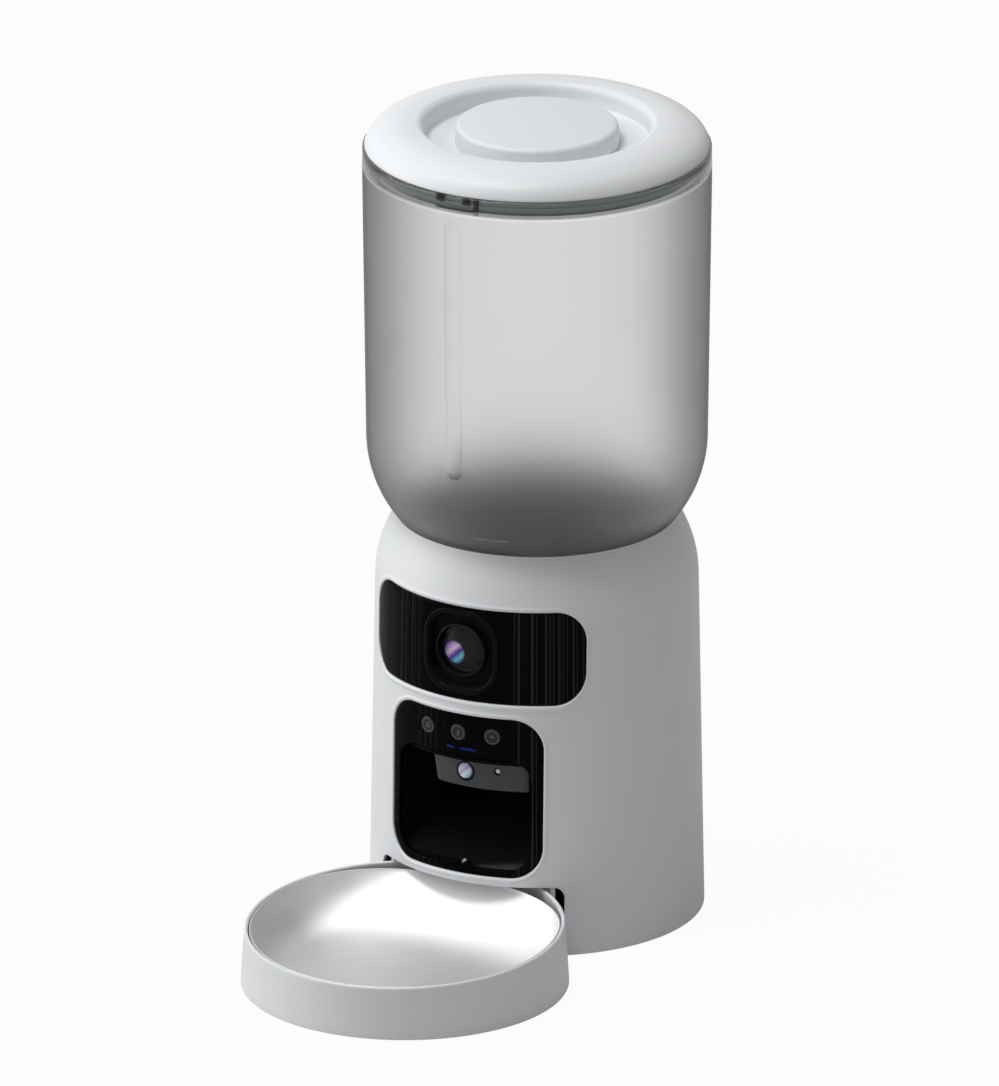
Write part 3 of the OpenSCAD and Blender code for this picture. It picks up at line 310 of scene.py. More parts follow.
def near(point, loop, reach):
    x, y = point
    for (x0, y0), (x1, y1) in zip(loop, loop[1:] + loop[:1]):
        if min(x0, x1) - reach > x or max(x0, x1) + reach < x:
            continue
        length = math.hypot(x1 - x0, y1 - y0)
        if length < 1e-9:
            continue
        t = max(0, min(1, ((x - x0) * (x1 - x0) + (y - y0) * (y1 - y0)) / length ** 2))
        if math.hypot(x - x0 - (x1 - x0) * t, y - y0 - (y1 - y0) * t) < reach:
            return True
    return False


class Skin:
    """The mesh of one piece that is wrapped round the column.
    A flat point is the turn from the front in degrees and the length along the outline."""
    def __init__(self, outline, lean=86.0):
        self.outline, self.per_degree = outline, lean * math.pi / 180
        self.spots, self.faces = [], []

    def spot_at(self, turn, r, z):
        a = math.radians(turn)
        self.spots.append((r * math.sin(a) * MM, (column_y - r * math.cos(a)) * MM, z * MM))
        return len(self.spots) - 1

    def loop(self, flats, rise):
        return [self.spot_at(turn, *self.outline.at(v, rise)) for turn, v in flats]

    def patch(self, edge, holes, grid, rise, outward=True, reach=1.0):
        """Fills an edge loop round its holes, through the points of a grid. Returns the
        numbers of the edge's spots, and those of each hole's."""
        loops = [[(turn * self.per_degree, v) for turn, v in loop] for loop in [edge] + holes]
        flats = [p for loop in loops for p in loop]
        links, start = [], 0
        for loop in loops:
            n = len(loop)
            links += [(start + k, start + (k + 1) % n) for k in range(n)]
            start += n
        for turn, v in grid:
            p = (turn * self.per_degree, v)
            if inside(p, loops[0]) and not near(p, loops[0], reach) \
                    and not any(inside(p, h) or near(p, h, reach) for h in loops[1:]):
                flats.append(p)
        made, _, triangles, origins, _, _ = delaunay_2d_cdt(
            [Vector(p) for p in flats], links, [], 0, 1e-5)
        number = {old: new for new, olds in enumerate(origins) for old in olds}
        first = len(self.spots)
        for p in made:
            self.spot_at(p.x / self.per_degree, *self.outline.at(p.y, rise))
        for triangle in triangles:
            a, b, c = (made[k] for k in triangle)
            middle = (a + b + c) / 3
            if abs((b - a).cross(c - a)) > 0.001 and inside(middle, loops[0]) \
                    and not any(inside(middle, h) for h in loops[1:]):
                face = [first + k for k in triangle]
                self.faces.append(face if outward else face[::-1])
        rims, start = [], 0
        for loop in loops:
            rims.append([first + number[start + k] for k in range(len(loop))])
            start += len(loop)
        return rims[0], rims[1:]

    def tube(self, foot, top_v, step, holes, rise, outward=True):
        """Fills a whole turn from a foot line up to a length, round its holes. Returns the
        numbers of the edge's spots, of those in its top line, and of each hole's."""
        (left, _), (right, _) = foot[0], foot[-1]
        side, turns = spaced(0, top_v, 5)[1:-1], spaced(right, left, step)
        before_top = foot + [(right, v) for v in side]
        rim, hole_rims = self.patch(
            before_top + [(t, top_v) for t in turns] + [(left, v) for v in side[::-1]], holes,
            [(t + (step / 2 if k % 2 else 0), v)
             for k, v in enumerate(spaced(0, top_v, 4.5)[1:-1]) for t in turns[-2:0:-1]],
            rise, outward)
        return rim, rim[len(before_top):][:len(turns)], hole_rims

    def strip(self, one, other, closed=True):
        for k in range(len(one) if closed else len(one) - 1):
            j = (k + 1) % len(one)
            self.faces.append([one[k], one[j], other[j], other[k]])

    def bands(self, first, loops, last=None):
        """Strips from a rim through loops of flat points and their rises."""
        for flats, rise in loops:
            now = self.loop(flats, rise)
            self.strip(first, now)
            first = now
        if last:
            self.strip(first, last)
        return first


def piece(name, spots, faces, finish, body, slot, node=None, crease=32.0):
    """Welds a smooth piece from spots in metres and ties it to its body. It replaces the
    solid that its slot is named after, or another that is named, or none for ''."""
    mesh = bpy.data.meshes.new(name)
    mesh.from_pydata(spots, [], faces)
    work = bmesh.new()
    work.from_mesh(mesh)
    bmesh.ops.remove_doubles(work, verts=work.verts, dist=2e-6)
    bmesh.ops.dissolve_degenerate(work, edges=work.edges, dist=1e-6)
    bmesh.ops.recalc_face_normals(work, faces=work.faces)
    if work.calc_volume(signed=True) < 0:
        bmesh.ops.reverse_faces(work, faces=work.faces)
    work.to_mesh(mesh)
    work.free()
    mesh.materials.append(finish.material)
    mesh.shade_smooth()
    mesh.set_sharp_from_angle(angle=math.radians(crease))
    made = link(bpy.data.objects.new(name, mesh))
    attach(made, body)
    if node != "":
        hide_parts(node or slot)


def wrapped(window, grow, rise):
    """The edge of a rounded window that is cut straight back through the column's front."""
    half, z0, z1, corner = window
    r = base_r_at((z0 + z1) / 2)
    reach, low, high = r * math.radians(half) - corner, z0 + corner, z1 - corner
    bends = [arc(x, z, corner + grow, first, first + 90, 12)
             for x, z, first in ((reach, high, 0), (-reach, high, 90), (-reach, low, 180),
                                 (reach, low, 270))]
    points = []
    for bend, after, n in zip(bends, bends[1:] + bends[:1], (28, 14, 28, 14)):
        (x0, z0), (x1, z1) = bend[-1], after[0]
        points += bend + [(x0 + (x1 - x0) * k / n, z0 + (z1 - z0) * k / n)
                          for k in range(1, n)]
    return base_outline.cut([(r * math.sin(x / r), z) for x, z in points], rise)


def white_plastic(name, tint):
    """Satin white moulding: faint cloudiness in the tint, and a fine spark-eroded grain."""
    made = Finish(name, IOR=1.46)
    cloud = made.grain(0.02, 3)
    made.colour(cloud, tuple(c * 0.985 for c in tint), tint).rough(0.4, 0.1, 0.6)
    return made.bump(made.grain(3.5, 3), 0.004)


base_outline = Outline(
    [(base_r_at(z), z) for z in spaced(base_foot_z, shoulder_z, 6)]
    + arc(shoulder_cx, shoulder_z, shoulder_r, 0,
          math.degrees(math.asin((seat_z - shoulder_z) / shoulder_r)), 24)[1:])
camera_opening = (46.4, 138.3, 189.1, 17.0)
food_opening = (31.0, 43.3, 130.3, 17.0)
arch_half, arch_top, arch_corner = 38.0, 38.4, 6.0
inlet_z, inlet_reach, inlet_r = 14.0, 2.8, 2.2
seam_turn, turn_step, left_steps, right_steps = 210, 3.0, 38, 58


def arch_edge(grow, rise):
    """The arch's edge from its left foot over the top to its right foot."""
    r = base_r_at(0)
    reach = r * math.radians(arch_half)
    bend_z = arch_top - arch_corner
    half = [(-reach - grow, z) for z in spaced(base_foot_z, bend_z, 4)]
    half += arc(-reach + arch_corner, bend_z, arch_corner + grow, 180, 90, 9)[1:]
    half += [(x, arch_top + grow) for x in spaced(-reach + arch_corner, 0, 4)[1:]]
    whole = half + [(-x, z) for x, z in half[-2::-1]]
    return base_outline.cut([(r * math.sin(x / r), z) for x, z in whole], rise)


def inlet_edge(grow, rise):
    """The edge of the inlet's slot, which has round ends and is cut straight through."""
    points = [p for middle, first in ((inlet_reach, -90), (-inlet_reach, 90))
              for p in arc(middle, inlet_z, inlet_r + grow, first, first + 180, 12)]
    return base_outline.cut(points, rise, 180)


def shell_side(shell, arch, rise, top_v, outward):
    """One face of the shell, outer or inner. Returns its rims by name."""
    foot = arch[-1][0]
    left = [(seam_turn - 360 + (360 - seam_turn - foot) * k / left_steps, 0.0)
            for k in range(left_steps)]
    right = [(foot + (seam_turn - foot) * k / right_steps, 0.0)
             for k in range(1, right_steps + 1)]
    grow = bead[0][0] if outward else 0.0
    rim, top, holes = shell.tube(
        left + arch + right, top_v, turn_step,
        [wrapped(w, grow, rise) for w in (camera_opening, food_opening)]
        + [inlet_edge(0.4 if outward else 0.0, rise)], rise, outward)
    a, b = len(left), len(left) + len(arch)
    return {"left": rim[:a + 1], "arch": rim[a:b], "right": rim[b - 1:b + len(right)],
            "top": top, "holes": holes}


bead = [(3.1, 0.0), (2.7, 0.04), (2.4, 0.18), (2.05, 0.38), (1.65, 0.5), (1.25, 0.48),
        (0.85, 0.32), (0.45, 0.04), (0.15, -0.26), (0.0, -0.6)]
shell = Skin(base_outline)

# The inner wall ends where it meets the round hollow that the hopper sits in.
low_v, high_v = base_outline.length - 30, base_outline.length
for _ in range(40):
    inner_v = (low_v + high_v) / 2
    r, z = base_outline.at(inner_v, -base_wall)
    if math.hypot(r - tank_round_cx, z - tank_round_z) > tank_round_r + seat_gap:
        low_v = inner_v
    else:
        high_v = inner_v
outer = shell_side(shell, arch_edge(0.6, 0), 0, base_outline.length, True)
inner = shell_side(shell, arch_edge(0, -base_wall), -base_wall, inner_v, False)
for opening, first, last in zip((camera_opening, food_opening), outer["holes"],
                                inner["holes"]):
    shell.bands(first, [(wrapped(opening, g, rise), rise) for g, rise in bead[1:]], last)
shell.bands(outer["holes"][2], [(inlet_edge(g, rise), rise)
                                for g, rise in ((0.12, -0.12), (0.0, -0.4))],
            inner["holes"][2])
arches = [outer["arch"]] + [shell.loop(arch_edge(g, rise), rise)
                            for g, rise in ((0.2, -0.12), (0.0, -0.6))] + [inner["arch"]]
for one, other in zip(arches, arches[1:]):
    shell.strip(one, other, closed=False)
for k in (0, -1):
    shell.faces.append([loop[k] for loop in arches])
for rim in ("left", "right"):
    shell.strip(outer[rim], inner[rim], closed=False)
r, z = base_outline.at(inner_v, -base_wall)
low_a = math.degrees(math.atan2(z - tank_round_z, r - tank_round_cx))
high_a = math.degrees(math.atan2(seat_z - tank_round_z, seat_r - tank_round_cx))
previous = outer["top"]
for r, z in arc(tank_round_cx, tank_round_z, tank_round_r + seat_gap, high_a + 0.3,
                low_a, 8)[:-1]:
    now = [shell.spot_at(turn, r, z)
           for turn in spaced(seam_turn, seam_turn - 360, turn_step)]
    shell.strip(previous, now, closed=False)
    previous = now
shell.strip(previous, inner["top"], closed=False)
body_white = white_plastic("body_white", (0.80, 0.815, 0.83))
piece("housing", shell.spots, shell.faces, body_white, "base", "white_body", "base_shell")


# Camera window.
# A gloss black panel of hard-coated acrylic that fills the upper window from behind, with
# a rounded hole for the camera's bezel. Its edges are rounded off before it is bonded in.
panel_sink, panel_back, panel_gap = 0.2, 3.0, 0.2
bezel_opening = (math.degrees(math.asin(22.0 / base_r_at(164.5))), 141.2, 187.3, 17.0)


def plate(outline, edge, steps, holes, hole_steps, back, grid, reach):
    """A wrapped plate. Its edge and each hole are functions of growth and rise, and the
    steps lead from the front over the rounding to the side."""
    made = Skin(outline)
    front, front_holes = made.patch(edge(*steps[0]), [hole(*hole_steps[0]) for hole in holes],
                                    grid, steps[0][1], reach=reach)
    rear, rear_holes = made.patch(
        edge(steps[-1][0], back), [hole(hole_steps[-1][0], back) for hole in holes],
        grid, back, False, reach)
    made.bands(front, [(edge(g, rise), rise) for g, rise in steps[1:]], rear)
    for hole, first, last in zip(holes, front_holes, rear_holes):
        made.bands(first, [(hole(g, rise), rise) for g, rise in hole_steps[1:]], last)
    return made.spots, made.faces


def panel(name, opening, holes, finish, slot):
    """A panel that fills an opening, with a small gap all round."""
    z0, z1 = opening[1:3]
    half = opening[0] + 2
    steps = [(g, -panel_sink - d) for g, d in ((0.6, 0.0), (0.35, 0.05), (0.12, 0.2),
                                               (0.0, 0.45))]
    grid = [(t + (1.2 if k % 2 else 0), base_outline.v_of(z))
            for k, z in enumerate(spaced(z0, z1, 3.2)) for t in spaced(-half, half, 2.4)]
    piece(name, *plate(base_outline, lambda g, rise: wrapped(opening, -panel_gap - g, rise),
                       steps, holes, steps, -panel_back, grid, 0.6), finish, "base", slot)


def black_gloss(name, tint, painted_streak_turns=(), print_on=None):
    """Hard gloss over black, with a faint haze. Faint upright lighter lines are painted into
    its colour between some turns from the front, as painted reflection streaks."""
    made = Finish(name, IOR=1.5, Specular_IOR_Level=0.02)
    haze = made.grain(0.05, 4)
    colour = made.mix(haze, tint, tuple(c * 1.3 for c in tint))
    if painted_streak_turns:
        side, ahead, _ = made.here()
        turn = side.turn(ahead)
        # Painted reflection streaks: lighter upright lines in the base colour between the
        # given turns.
        lines = made.grain(0.55, 2.5, (turn * 1.5, 0, 0)).step(0.48, 0.62)
        painted_streak_mask = sum(turn.step(a, a + 4) * (1 - turn.step(b - 4, b)) * much
                    for a, b, much in painted_streak_turns)
        colour = made.mix(lines * painted_streak_mask, colour, (0.04, 0.04, 0.042))
    made.feed("Base Color", print_on(made, colour) if print_on else colour)
    return made.feed("Roughness", 0.05 + 0.05 * haze)


# The window panel gets painted reflection streaks between -37 and -15 degrees and between 17
# and 56 degrees.
panel("camera_window_panel", camera_opening,
      [lambda g, rise: wrapped(bezel_opening, 0.1 + g, rise)],
      black_gloss("window_black", (0.002, 0.002, 0.0025), ((-37, -15, 0.4), (17, 56, 0.7))),
      "camera_window")


# Camera bezel.
# A moulded squircle that stands just proud of the window and sinks to a flat face, with a
# round hole that the barrel comes through.
camera_z, barrel_r, bezel_depth = 164.5, 14.4, 5.0


def straight_hole(outline, turn, z, radius):
    """A round hole that is bored straight back, not square to the wall."""
    return lambda g, rise: outline.cut(arc(0, z, radius + g, 0, 360, 40)[:-1], rise, turn)


bezel_steps = [
    (-4.9, -bezel_depth), (-4.3, -4.8), (-4.0, -4.2), (-3.7, -2.5), (-3.3, -0.8), (-2.8, -0.1),
    (-2.2, 0.3), (-1.5, 0.5), (-0.8, 0.48), (-0.3, 0.3), (-0.05, 0.0)]
bezel = plate(
    base_outline, lambda g, rise: wrapped(bezel_opening, g, rise), bezel_steps,
    [straight_hole(base_outline, 0, camera_z, barrel_r + 0.1)], [(0.0, -bezel_depth)],
    -bezel_depth - 2,
    [(t, base_outline.v_of(z)) for z in spaced(142, 187, 3) for t in spaced(-15, 15, 2)], 0.8)
piece("camera_bezel_ring", *bezel, black_gloss("bezel_black", (0.006, 0.006, 0.0065)),
      "base", "camera_bezel")


# Camera barrel.
# A turned satin black tube with a step inside that the front element sits on. It is pushed
# into the bezel's hole from behind.
def rounded(corners, steps=4):
    """A closed outline whose corners, each x, y and radius, are rounded off."""
    out = []
    for k, (x, y, r) in enumerate(corners):
        here = Vector((x, y))
        if r == 0:
            out.append((x, y))
            continue
        one = (Vector(corners[k - 1][:2]) - here).normalized()
        two = (Vector(corners[(k + 1) % len(corners)][:2]) - here).normalized()
        half = one.angle(two) / 2
        middle = here + (one + two).normalized() * (r / math.sin(half))
        start = here + one * (r / math.tan(half)) - middle
        end = here + two * (r / math.tan(half)) - middle
        first = math.atan2(start.y, start.x)
        sweep = (math.atan2(end.y, end.x) - first + math.pi) % (2 * math.pi) - math.pi
        turns = [first + sweep * j / steps for j in range(steps + 1)]
        out += [(middle.x + r * math.cos(a), middle.y + r * math.sin(a)) for a in turns]
    return out


def facing(turn, z):
    """Places a turned piece whose axis points out of the column at a turn and height."""
    a = math.radians(turn)
    out, side = Vector((math.sin(a), -math.cos(a), 0)), Vector((math.cos(a), math.sin(a), 0))
    return lambda r, h, t: (Vector((0, column_y, z)) + out * h
                            + side * (r * math.sin(t)) + Vector((0, 0, r * math.cos(t)))) * MM


def turned(section, place, steps=96, closed=True):
    """Spots and faces of an outline of radius and height that is turned once round."""
    n = len(section)
    spots = [place(r, h, 2 * math.pi * k / steps) for k in range(steps) for r, h in section]
    faces = [(k * n + i, (k + 1) % steps * n + i, (k + 1) % steps * n + (i + 1) % n,
              k * n + (i + 1) % n)
             for k in range(steps) for i in range(n if closed else n - 1)]
    return spots, faces


barrel_front = base_r_at(camera_z) - 2.2
barrel_section = rounded([
    (barrel_r, barrel_front - 17, 0.3), (barrel_r, barrel_front, 0.7),
    (barrel_r - 0.9, barrel_front, 0.2), (barrel_r - 0.9, barrel_front - 6.9, 0.2),
    (9.0, barrel_front - 6.9, 0.15), (9.0, barrel_front - 15, 0.2),
    (4.0, barrel_front - 15, 0.2), (4.0, barrel_front - 17, 0.2),
])
barrel_black = Finish("barrel_black", Base_Color=(0.005, 0.005, 0.006, 1), IOR=1.45,
                      Specular_IOR_Level=0.15)
barrel_black.rough(0.34, 0.12, 1.2).bump(barrel_black.grain(5, 2), 0.006)
piece("camera_barrel_tube", *turned(barrel_section, facing(0, camera_z)), barrel_black,
      "base", "camera_barrel")


# Camera lens.
# A clear dome closes the barrel. Behind it sits the wide front element, whose colour has a
# violet, blue and pale cyan glint painted off to one side and grey reflection arcs painted
# near its rim.
dome_r, dome_seat_r = 26.0, barrel_r - 1.0
dome_cx = barrel_front + 1 - dome_r


def cap(radius, sphere_r, centre, steps=14):
    """Points of a round cap from its rim to its tip."""
    edge = math.asin(radius / sphere_r)
    return [(sphere_r * math.sin(edge * (1 - k / steps)),
             centre + sphere_r * math.cos(edge * (1 - k / steps))) for k in range(steps + 1)]


def glass_with_painted_glint(name, z, spot_x, spot_z, spot_r, stops, dark, edge_r, **constants):
    """Dark glass with a painted coloured glint, which fades out at its own soft edge, and
    painted grey reflection arcs near its rim.
    """
    made = Finish(name, IOR=1.5, Specular_IOR_Level=0.1, **constants)
    x, _, up = made.here()
    up = up - z
    wave = made.grain(0.5, 2) - 0.5
    # Painted glint: a coloured spot off to one side, in the base colour.
    painted_glint = ((x - spot_x) ** 2 + (up - spot_z) ** 2) ** 0.5 / spot_r + 0.2 * wave
    sweep = ((x - spot_x) * 0.66 - (up - spot_z) * 0.75) / (2 * spot_r) + 0.5 + 0.12 * wave
    colours = made.node("ShaderNodeValToRGB", {"stops": stops}, sweep)
    # Painted reflection arcs: a grey ring near the rim, kept to its top and bottom.
    edge = ((x ** 2 + up ** 2) ** 0.5 / edge_r).step(0.80, 0.88) * (
        up.size() / edge_r).step(0.35, 0.85)
    glass_with_painted_arcs = made.mix(edge * made.grain(0.35, 2), (dark, dark, dark * 1.05),
                     (dark * 9, dark * 9, dark * 8.4))
    return made, made.mix(painted_glint.step(0.8, 1.06), colours, glass_with_painted_arcs)


dome_glass = Finish("dome_glass", Base_Color=(0.02, 0.02, 0.025, 1), IOR=1.45, Alpha=0.1)
dome_glass.rough(0.01, 0.03, 0.3)
dome_section = (cap(dome_seat_r, dome_r, dome_cx)
                + cap(dome_seat_r - 0.4, dome_r - 1.2, dome_cx)[::-1])
piece("camera_dome", *turned(dome_section, facing(0, camera_z)), dome_glass,
      "base", "camera_lens", crease=50)

lens_r, lens_tip = 13.2, barrel_front - 1.2
lens_painted_glint_finish, painted_glint = glass_with_painted_glint(
    "lens_painted_glint", camera_z, -4.6, -2.5, 6.5,
    [(0.0, (0.10, 0.02, 0.30)), (0.22, (0.62, 0.40, 0.90)), (0.38, (0.90, 0.78, 1.0)),
     (0.50, (0.55, 0.20, 0.60)), (0.60, (0.06, 0.04, 0.50)), (0.80, (0.30, 0.80, 1.0)),
     (1.0, (0.03, 0.08, 0.45))], 0.018, lens_r)
lens_painted_glint_finish.feed("Base Color", painted_glint).rough(0.16, 0.1, 1.0)
lens_section = ([(0.0, lens_tip - 5.2), (lens_r, lens_tip - 5.2)]
                + cap(lens_r - 0.2, 30.0, lens_tip - 30.0))
piece("camera_front_element", *turned(lens_section, facing(0, camera_z)), lens_painted_glint_finish,
      "base", "camera_lens", "", crease=50)


# Control panel.
# A second gloss black panel frames the food mouth. Its mouth and key holes have the same
# rounded edges as the window above, and the glow of two small blue lights is painted into its
# colour.
mouth_opening = (27.0, 47.0, 107.6, 13.5)
key_z, key_r, key_turn = 120.0, 4.7, 13.0


def painted_indicator_glow(finish, black):
    """Two narrow blue light windows between the keys and the mouth, whose glow is painted in
    the base colour.
    """
    x, _, up = finish.here()
    short, long = (x + 4.2).size() - 2.2, (x - 6.0).size() - 4.4
    lit = short.least(long).most((up - 111.7).size() - 0.6)
    return finish.mix(1 - lit.step(-0.5, 0.4), black, (0.008, 0.030, 0.20))


# The control panel gets painted reflection streaks between -20 and -4 degrees and between 20
# and 33 degrees.
panel("control_panel_frame", food_opening,
      [lambda g, rise: wrapped(mouth_opening, g, rise)]
      + [straight_hole(base_outline, turn, key_z, key_r + 0.2)
         for turn in (-key_turn, 0, key_turn)],
      black_gloss("panel_black", (0.002, 0.002, 0.0025), ((-20, -4, 0.25), (20, 33, 0.6)),
                  painted_indicator_glow), "control_panel")


# Keys.
# Three black moulded caps with a soft dish on top. Each has a grey printed ring and its own
# plain sign, and a flange behind that keeps it in its hole.
key_front, key_long = base_r_at(key_z) - 0.3, 5.6


def printed(finish, turn, z, sign, base, ink):
    """The colour of a face with a printed sign. A sign is a distance over flat places."""
    x, ahead, up = finish.here()
    side = x * math.cos(math.radians(turn)) - ahead * math.sin(math.radians(turn))
    return finish.mix(1 - sign(side, up - z).step(-0.06, 0.08), base, ink)


def ring_sign(side, height):
    return ((side ** 2 + height ** 2) ** 0.5 - 3.5).size() - 0.16


def bowl_sign(side, height):
    bar = (height + 0.9).size().most(side.size() - 1.2) - 0.22
    kibble = ((side ** 2 + (height - 0.5) ** 2) ** 0.5 - 0.75).size() - 0.16
    return bar.least(kibble)


def talk_sign(side, height):
    stem = (side ** 2 + (height.size() - 0.6).most(0.0) ** 2) ** 0.5 - 0.5
    return stem.least((height + 1.7).size().most(side.size() - 0.7) - 0.14)


def reset_sign(side, height):
    return ((side.size() - 0.55) ** 2 + height ** 2) ** 0.5 - 0.5


for name, turn, sign in (("feed_key", -key_turn, bowl_sign), ("talk_key", 0, talk_sign),
                         ("reset_key", key_turn, reset_sign)):
    key_black = Finish(name + "_black", IOR=1.5, Specular_IOR_Level=0.35)
    key_black.feed("Base Color", printed(
        key_black, turn, key_z, lambda s, h: sign(s, h).least(ring_sign(s, h)),
        (0.008, 0.008, 0.009), (0.11, 0.11, 0.115)))
    key_black.rough(0.16, 0.1, 0.8).bump(key_black.grain(4, 2), 0.003)
    cap_outline = rounded([
        (0, key_front - key_long, 0), (key_r + 1.2, key_front - key_long, 0.2),
        (key_r + 1.2, key_front - key_long + 1.4, 0.3),
        (key_r - 0.05, key_front - key_long + 1.4, 0.15), (key_r - 0.05, key_front, 0.7),
        (key_r - 1.5, key_front - 0.1, 0.5), (0, key_front - 0.28, 0)])
    piece(name + "_cap", *turned(cap_outline, facing(turn, key_z)), key_black, name, name)


# Sensor bar.
# A grey satin strip set back under the top of the mouth, bevelled all round, with a second
# camera in its middle and a small eye beside it. A light sits in the sill below.
bar_r, bar_z0, bar_z1, bar_t = 76.55, 87.3, 104.0, 2.0
bar_left, bar_right, bar_lean = -13.5, 26.4, 3.2
bar_outline = Outline([(bar_r, 0), (bar_r, 200)])
bowl_camera_z, bowl_camera_r = 96.0, 5.2
eye_turn, eye_z, eye_r = 13.6, 98.2, 2.0


def bar_edge(inset):
    """The bar's outline, whose left end leans out at the top."""
    x0, x1 = (bar_r * math.radians(t) for t in (bar_left, bar_right))
    corners = [(x1 - inset, bar_z1 - inset), (x0 - bar_lean + inset * 1.1, bar_z1 - inset),
               (x0 + inset * 1.1, bar_z0 + inset), (x1 - inset, bar_z0 + inset)]
    loop = rounded([(x, z, 1.6 - inset) for x, z in corners], 6)
    return [(math.degrees(x / bar_r), z) for x, z in subdivided(loop, 2.0)]


def subdivided(loop, most):
    """A closed loop with points added so that none are further apart than a step."""
    out = []
    for (x0, y0), (x1, y1) in zip(loop, loop[1:] + loop[:1]):
        n = max(1, math.ceil(math.hypot(x1 - x0, y1 - y0) / most))
        out += [(x0 + (x1 - x0) * k / n, y0 + (y1 - y0) * k / n) for k in range(n)]
    return out


bar = plate(
    bar_outline, lambda g, rise: bar_edge(g),
    [(0.95, 0.0), (0.75, -0.05), (0.15, -0.55), (0.0, -0.75)],
    [straight_hole(bar_outline, 0, bowl_camera_z, bowl_camera_r + 0.1),
     straight_hole(bar_outline, eye_turn, eye_z, eye_r + 0.1)], [(0.15, 0.0), (0.0, -0.15)],
    -bar_t, [(t, z) for z in spaced(bar_z0, bar_z1, 2.4) for t in spaced(-17, 27, 1.6)], 0.5)
bar_grey = Finish("sensor_bar_grey", IOR=1.46)
bar_grey.colour(bar_grey.grain(0.08, 3), (0.040, 0.043, 0.044), (0.048, 0.051, 0.052))
bar_grey.rough(0.34, 0.12, 1.5).bump(bar_grey.grain(5, 2), 0.008)
piece("sensor_bar_strip", *bar, bar_grey, "base", "sensor_bar")

piece("bowl_camera_tube", *turned(rounded([
    (bowl_camera_r, bar_r - 9, 0.3), (bowl_camera_r, bar_r + 0.4, 0.35),
    (bowl_camera_r - 0.4, bar_r + 0.4, 0.15), (bowl_camera_r - 0.4, bar_r - 2.9, 0.1),
    (0, bar_r - 2.9, 0), (0, bar_r - 9, 0)]), facing(0, bowl_camera_z), 72),
    barrel_black, "base", "bowl_camera")
# The bowl camera's lens has a painted pale violet and cyan glint, and painted reflection arcs
# near its rim.
small_lens_painted_glint_finish, painted_glint = glass_with_painted_glint(
    "small_lens_painted_glint", bowl_camera_z, -0.5, 0.3, 4.6,
    [(0.0, (0.34, 0.24, 0.46)), (0.3, (0.74, 0.66, 0.86)), (0.48, (0.50, 0.36, 0.66)),
     (0.62, (0.86, 0.84, 0.96)), (0.8, (0.50, 0.80, 0.90)), (1.0, (0.20, 0.30, 0.42))],
    0.02, bowl_camera_r, Coat_Weight=0.6, Coat_Roughness=0.04)
small_lens_painted_glint_finish.feed("Base Color", painted_glint).rough(0.1, 0.1, 1.0)
piece("bowl_camera_front_lens", *turned(
    [(0, bar_r - 2.8), (bowl_camera_r - 0.5, bar_r - 2.8)]
    + cap(bowl_camera_r - 0.6, 9.0, bar_r + 0.9 - 9.0, 10), facing(0, bowl_camera_z), 72),
    small_lens_painted_glint_finish, "base", "bowl_camera_lens", crease=50)

# The eye's pale middle disc is a painted highlight, laid on with printed().
eye_glass = Finish("sensor_eye_glass", IOR=1.5)
eye_glass.feed("Base Color", printed(
    eye_glass, eye_turn, eye_z, lambda s, h: (s ** 2 + h ** 2) ** 0.5 - 1.15,
    (0.015, 0.015, 0.018), (0.75, 0.76, 0.78)))
eye_glass.rough(0.08, 0.08, 1.0)
piece("sensor_eye_window", *turned(
    [(0, bar_r - 5), (eye_r, bar_r - 5), (eye_r, bar_r - 0.8)]
    + cap(eye_r - 0.1, 4.5, bar_r - 4.9, 8), facing(eye_turn, eye_z), 48),
    eye_glass, "base", "sensor_eye", crease=50)


# Hopper.
# A thin blown tank of smoke grey copolyester. Its wall is frosted outside, left clear in a
# band under the rim, and has a narrow sunk strip at the front that shows the filling.
def upright(r, h, t):
    """Places a turned piece that stands round the column's axis."""
    return Vector((r * math.sin(t), column_y - r * math.cos(t), h)) * MM


tank_wall, tank_r_low, tank_r_top, tank_rim_z = 2.2, 88.5, 90.6, 416.488
neck_r, neck_z = 36.0, 187.145
neck_meets = math.degrees(math.acos((neck_r - tank_round_cx) / tank_round_r))
tank_steps = 144


def tank_r_at(z):
    return tank_r_low + (tank_r_top - tank_r_low) * (z - tank_round_z) / (
        tank_rim_z - tank_round_z)


strip_z0, strip_z1, strip_half = 261.0, 402.0, 4.4
band_z, band_step = 407.0, 0.25
rim_r = (tank_wall - band_step) / 2
tank_outline = Outline(
    [(tank_r_at(z), z) for z in spaced(tank_round_z, band_z - 0.3, 5)]
    + [(tank_r_at(z) - band_step, z) for z in spaced(band_z, tank_rim_z - rim_r, 4)])


def strip_edge(grow, rise):
    """The sight strip's edge, a slot with round ends."""
    ends = ((strip_z1 - strip_half, 0), (strip_z0 + strip_half, 180))
    points = [p for middle, first in ends
              for p in arc(0, middle, strip_half + grow, first, first + 180, 12)]
    return tank_outline.cut(subdivided(points, 3.0), rise)


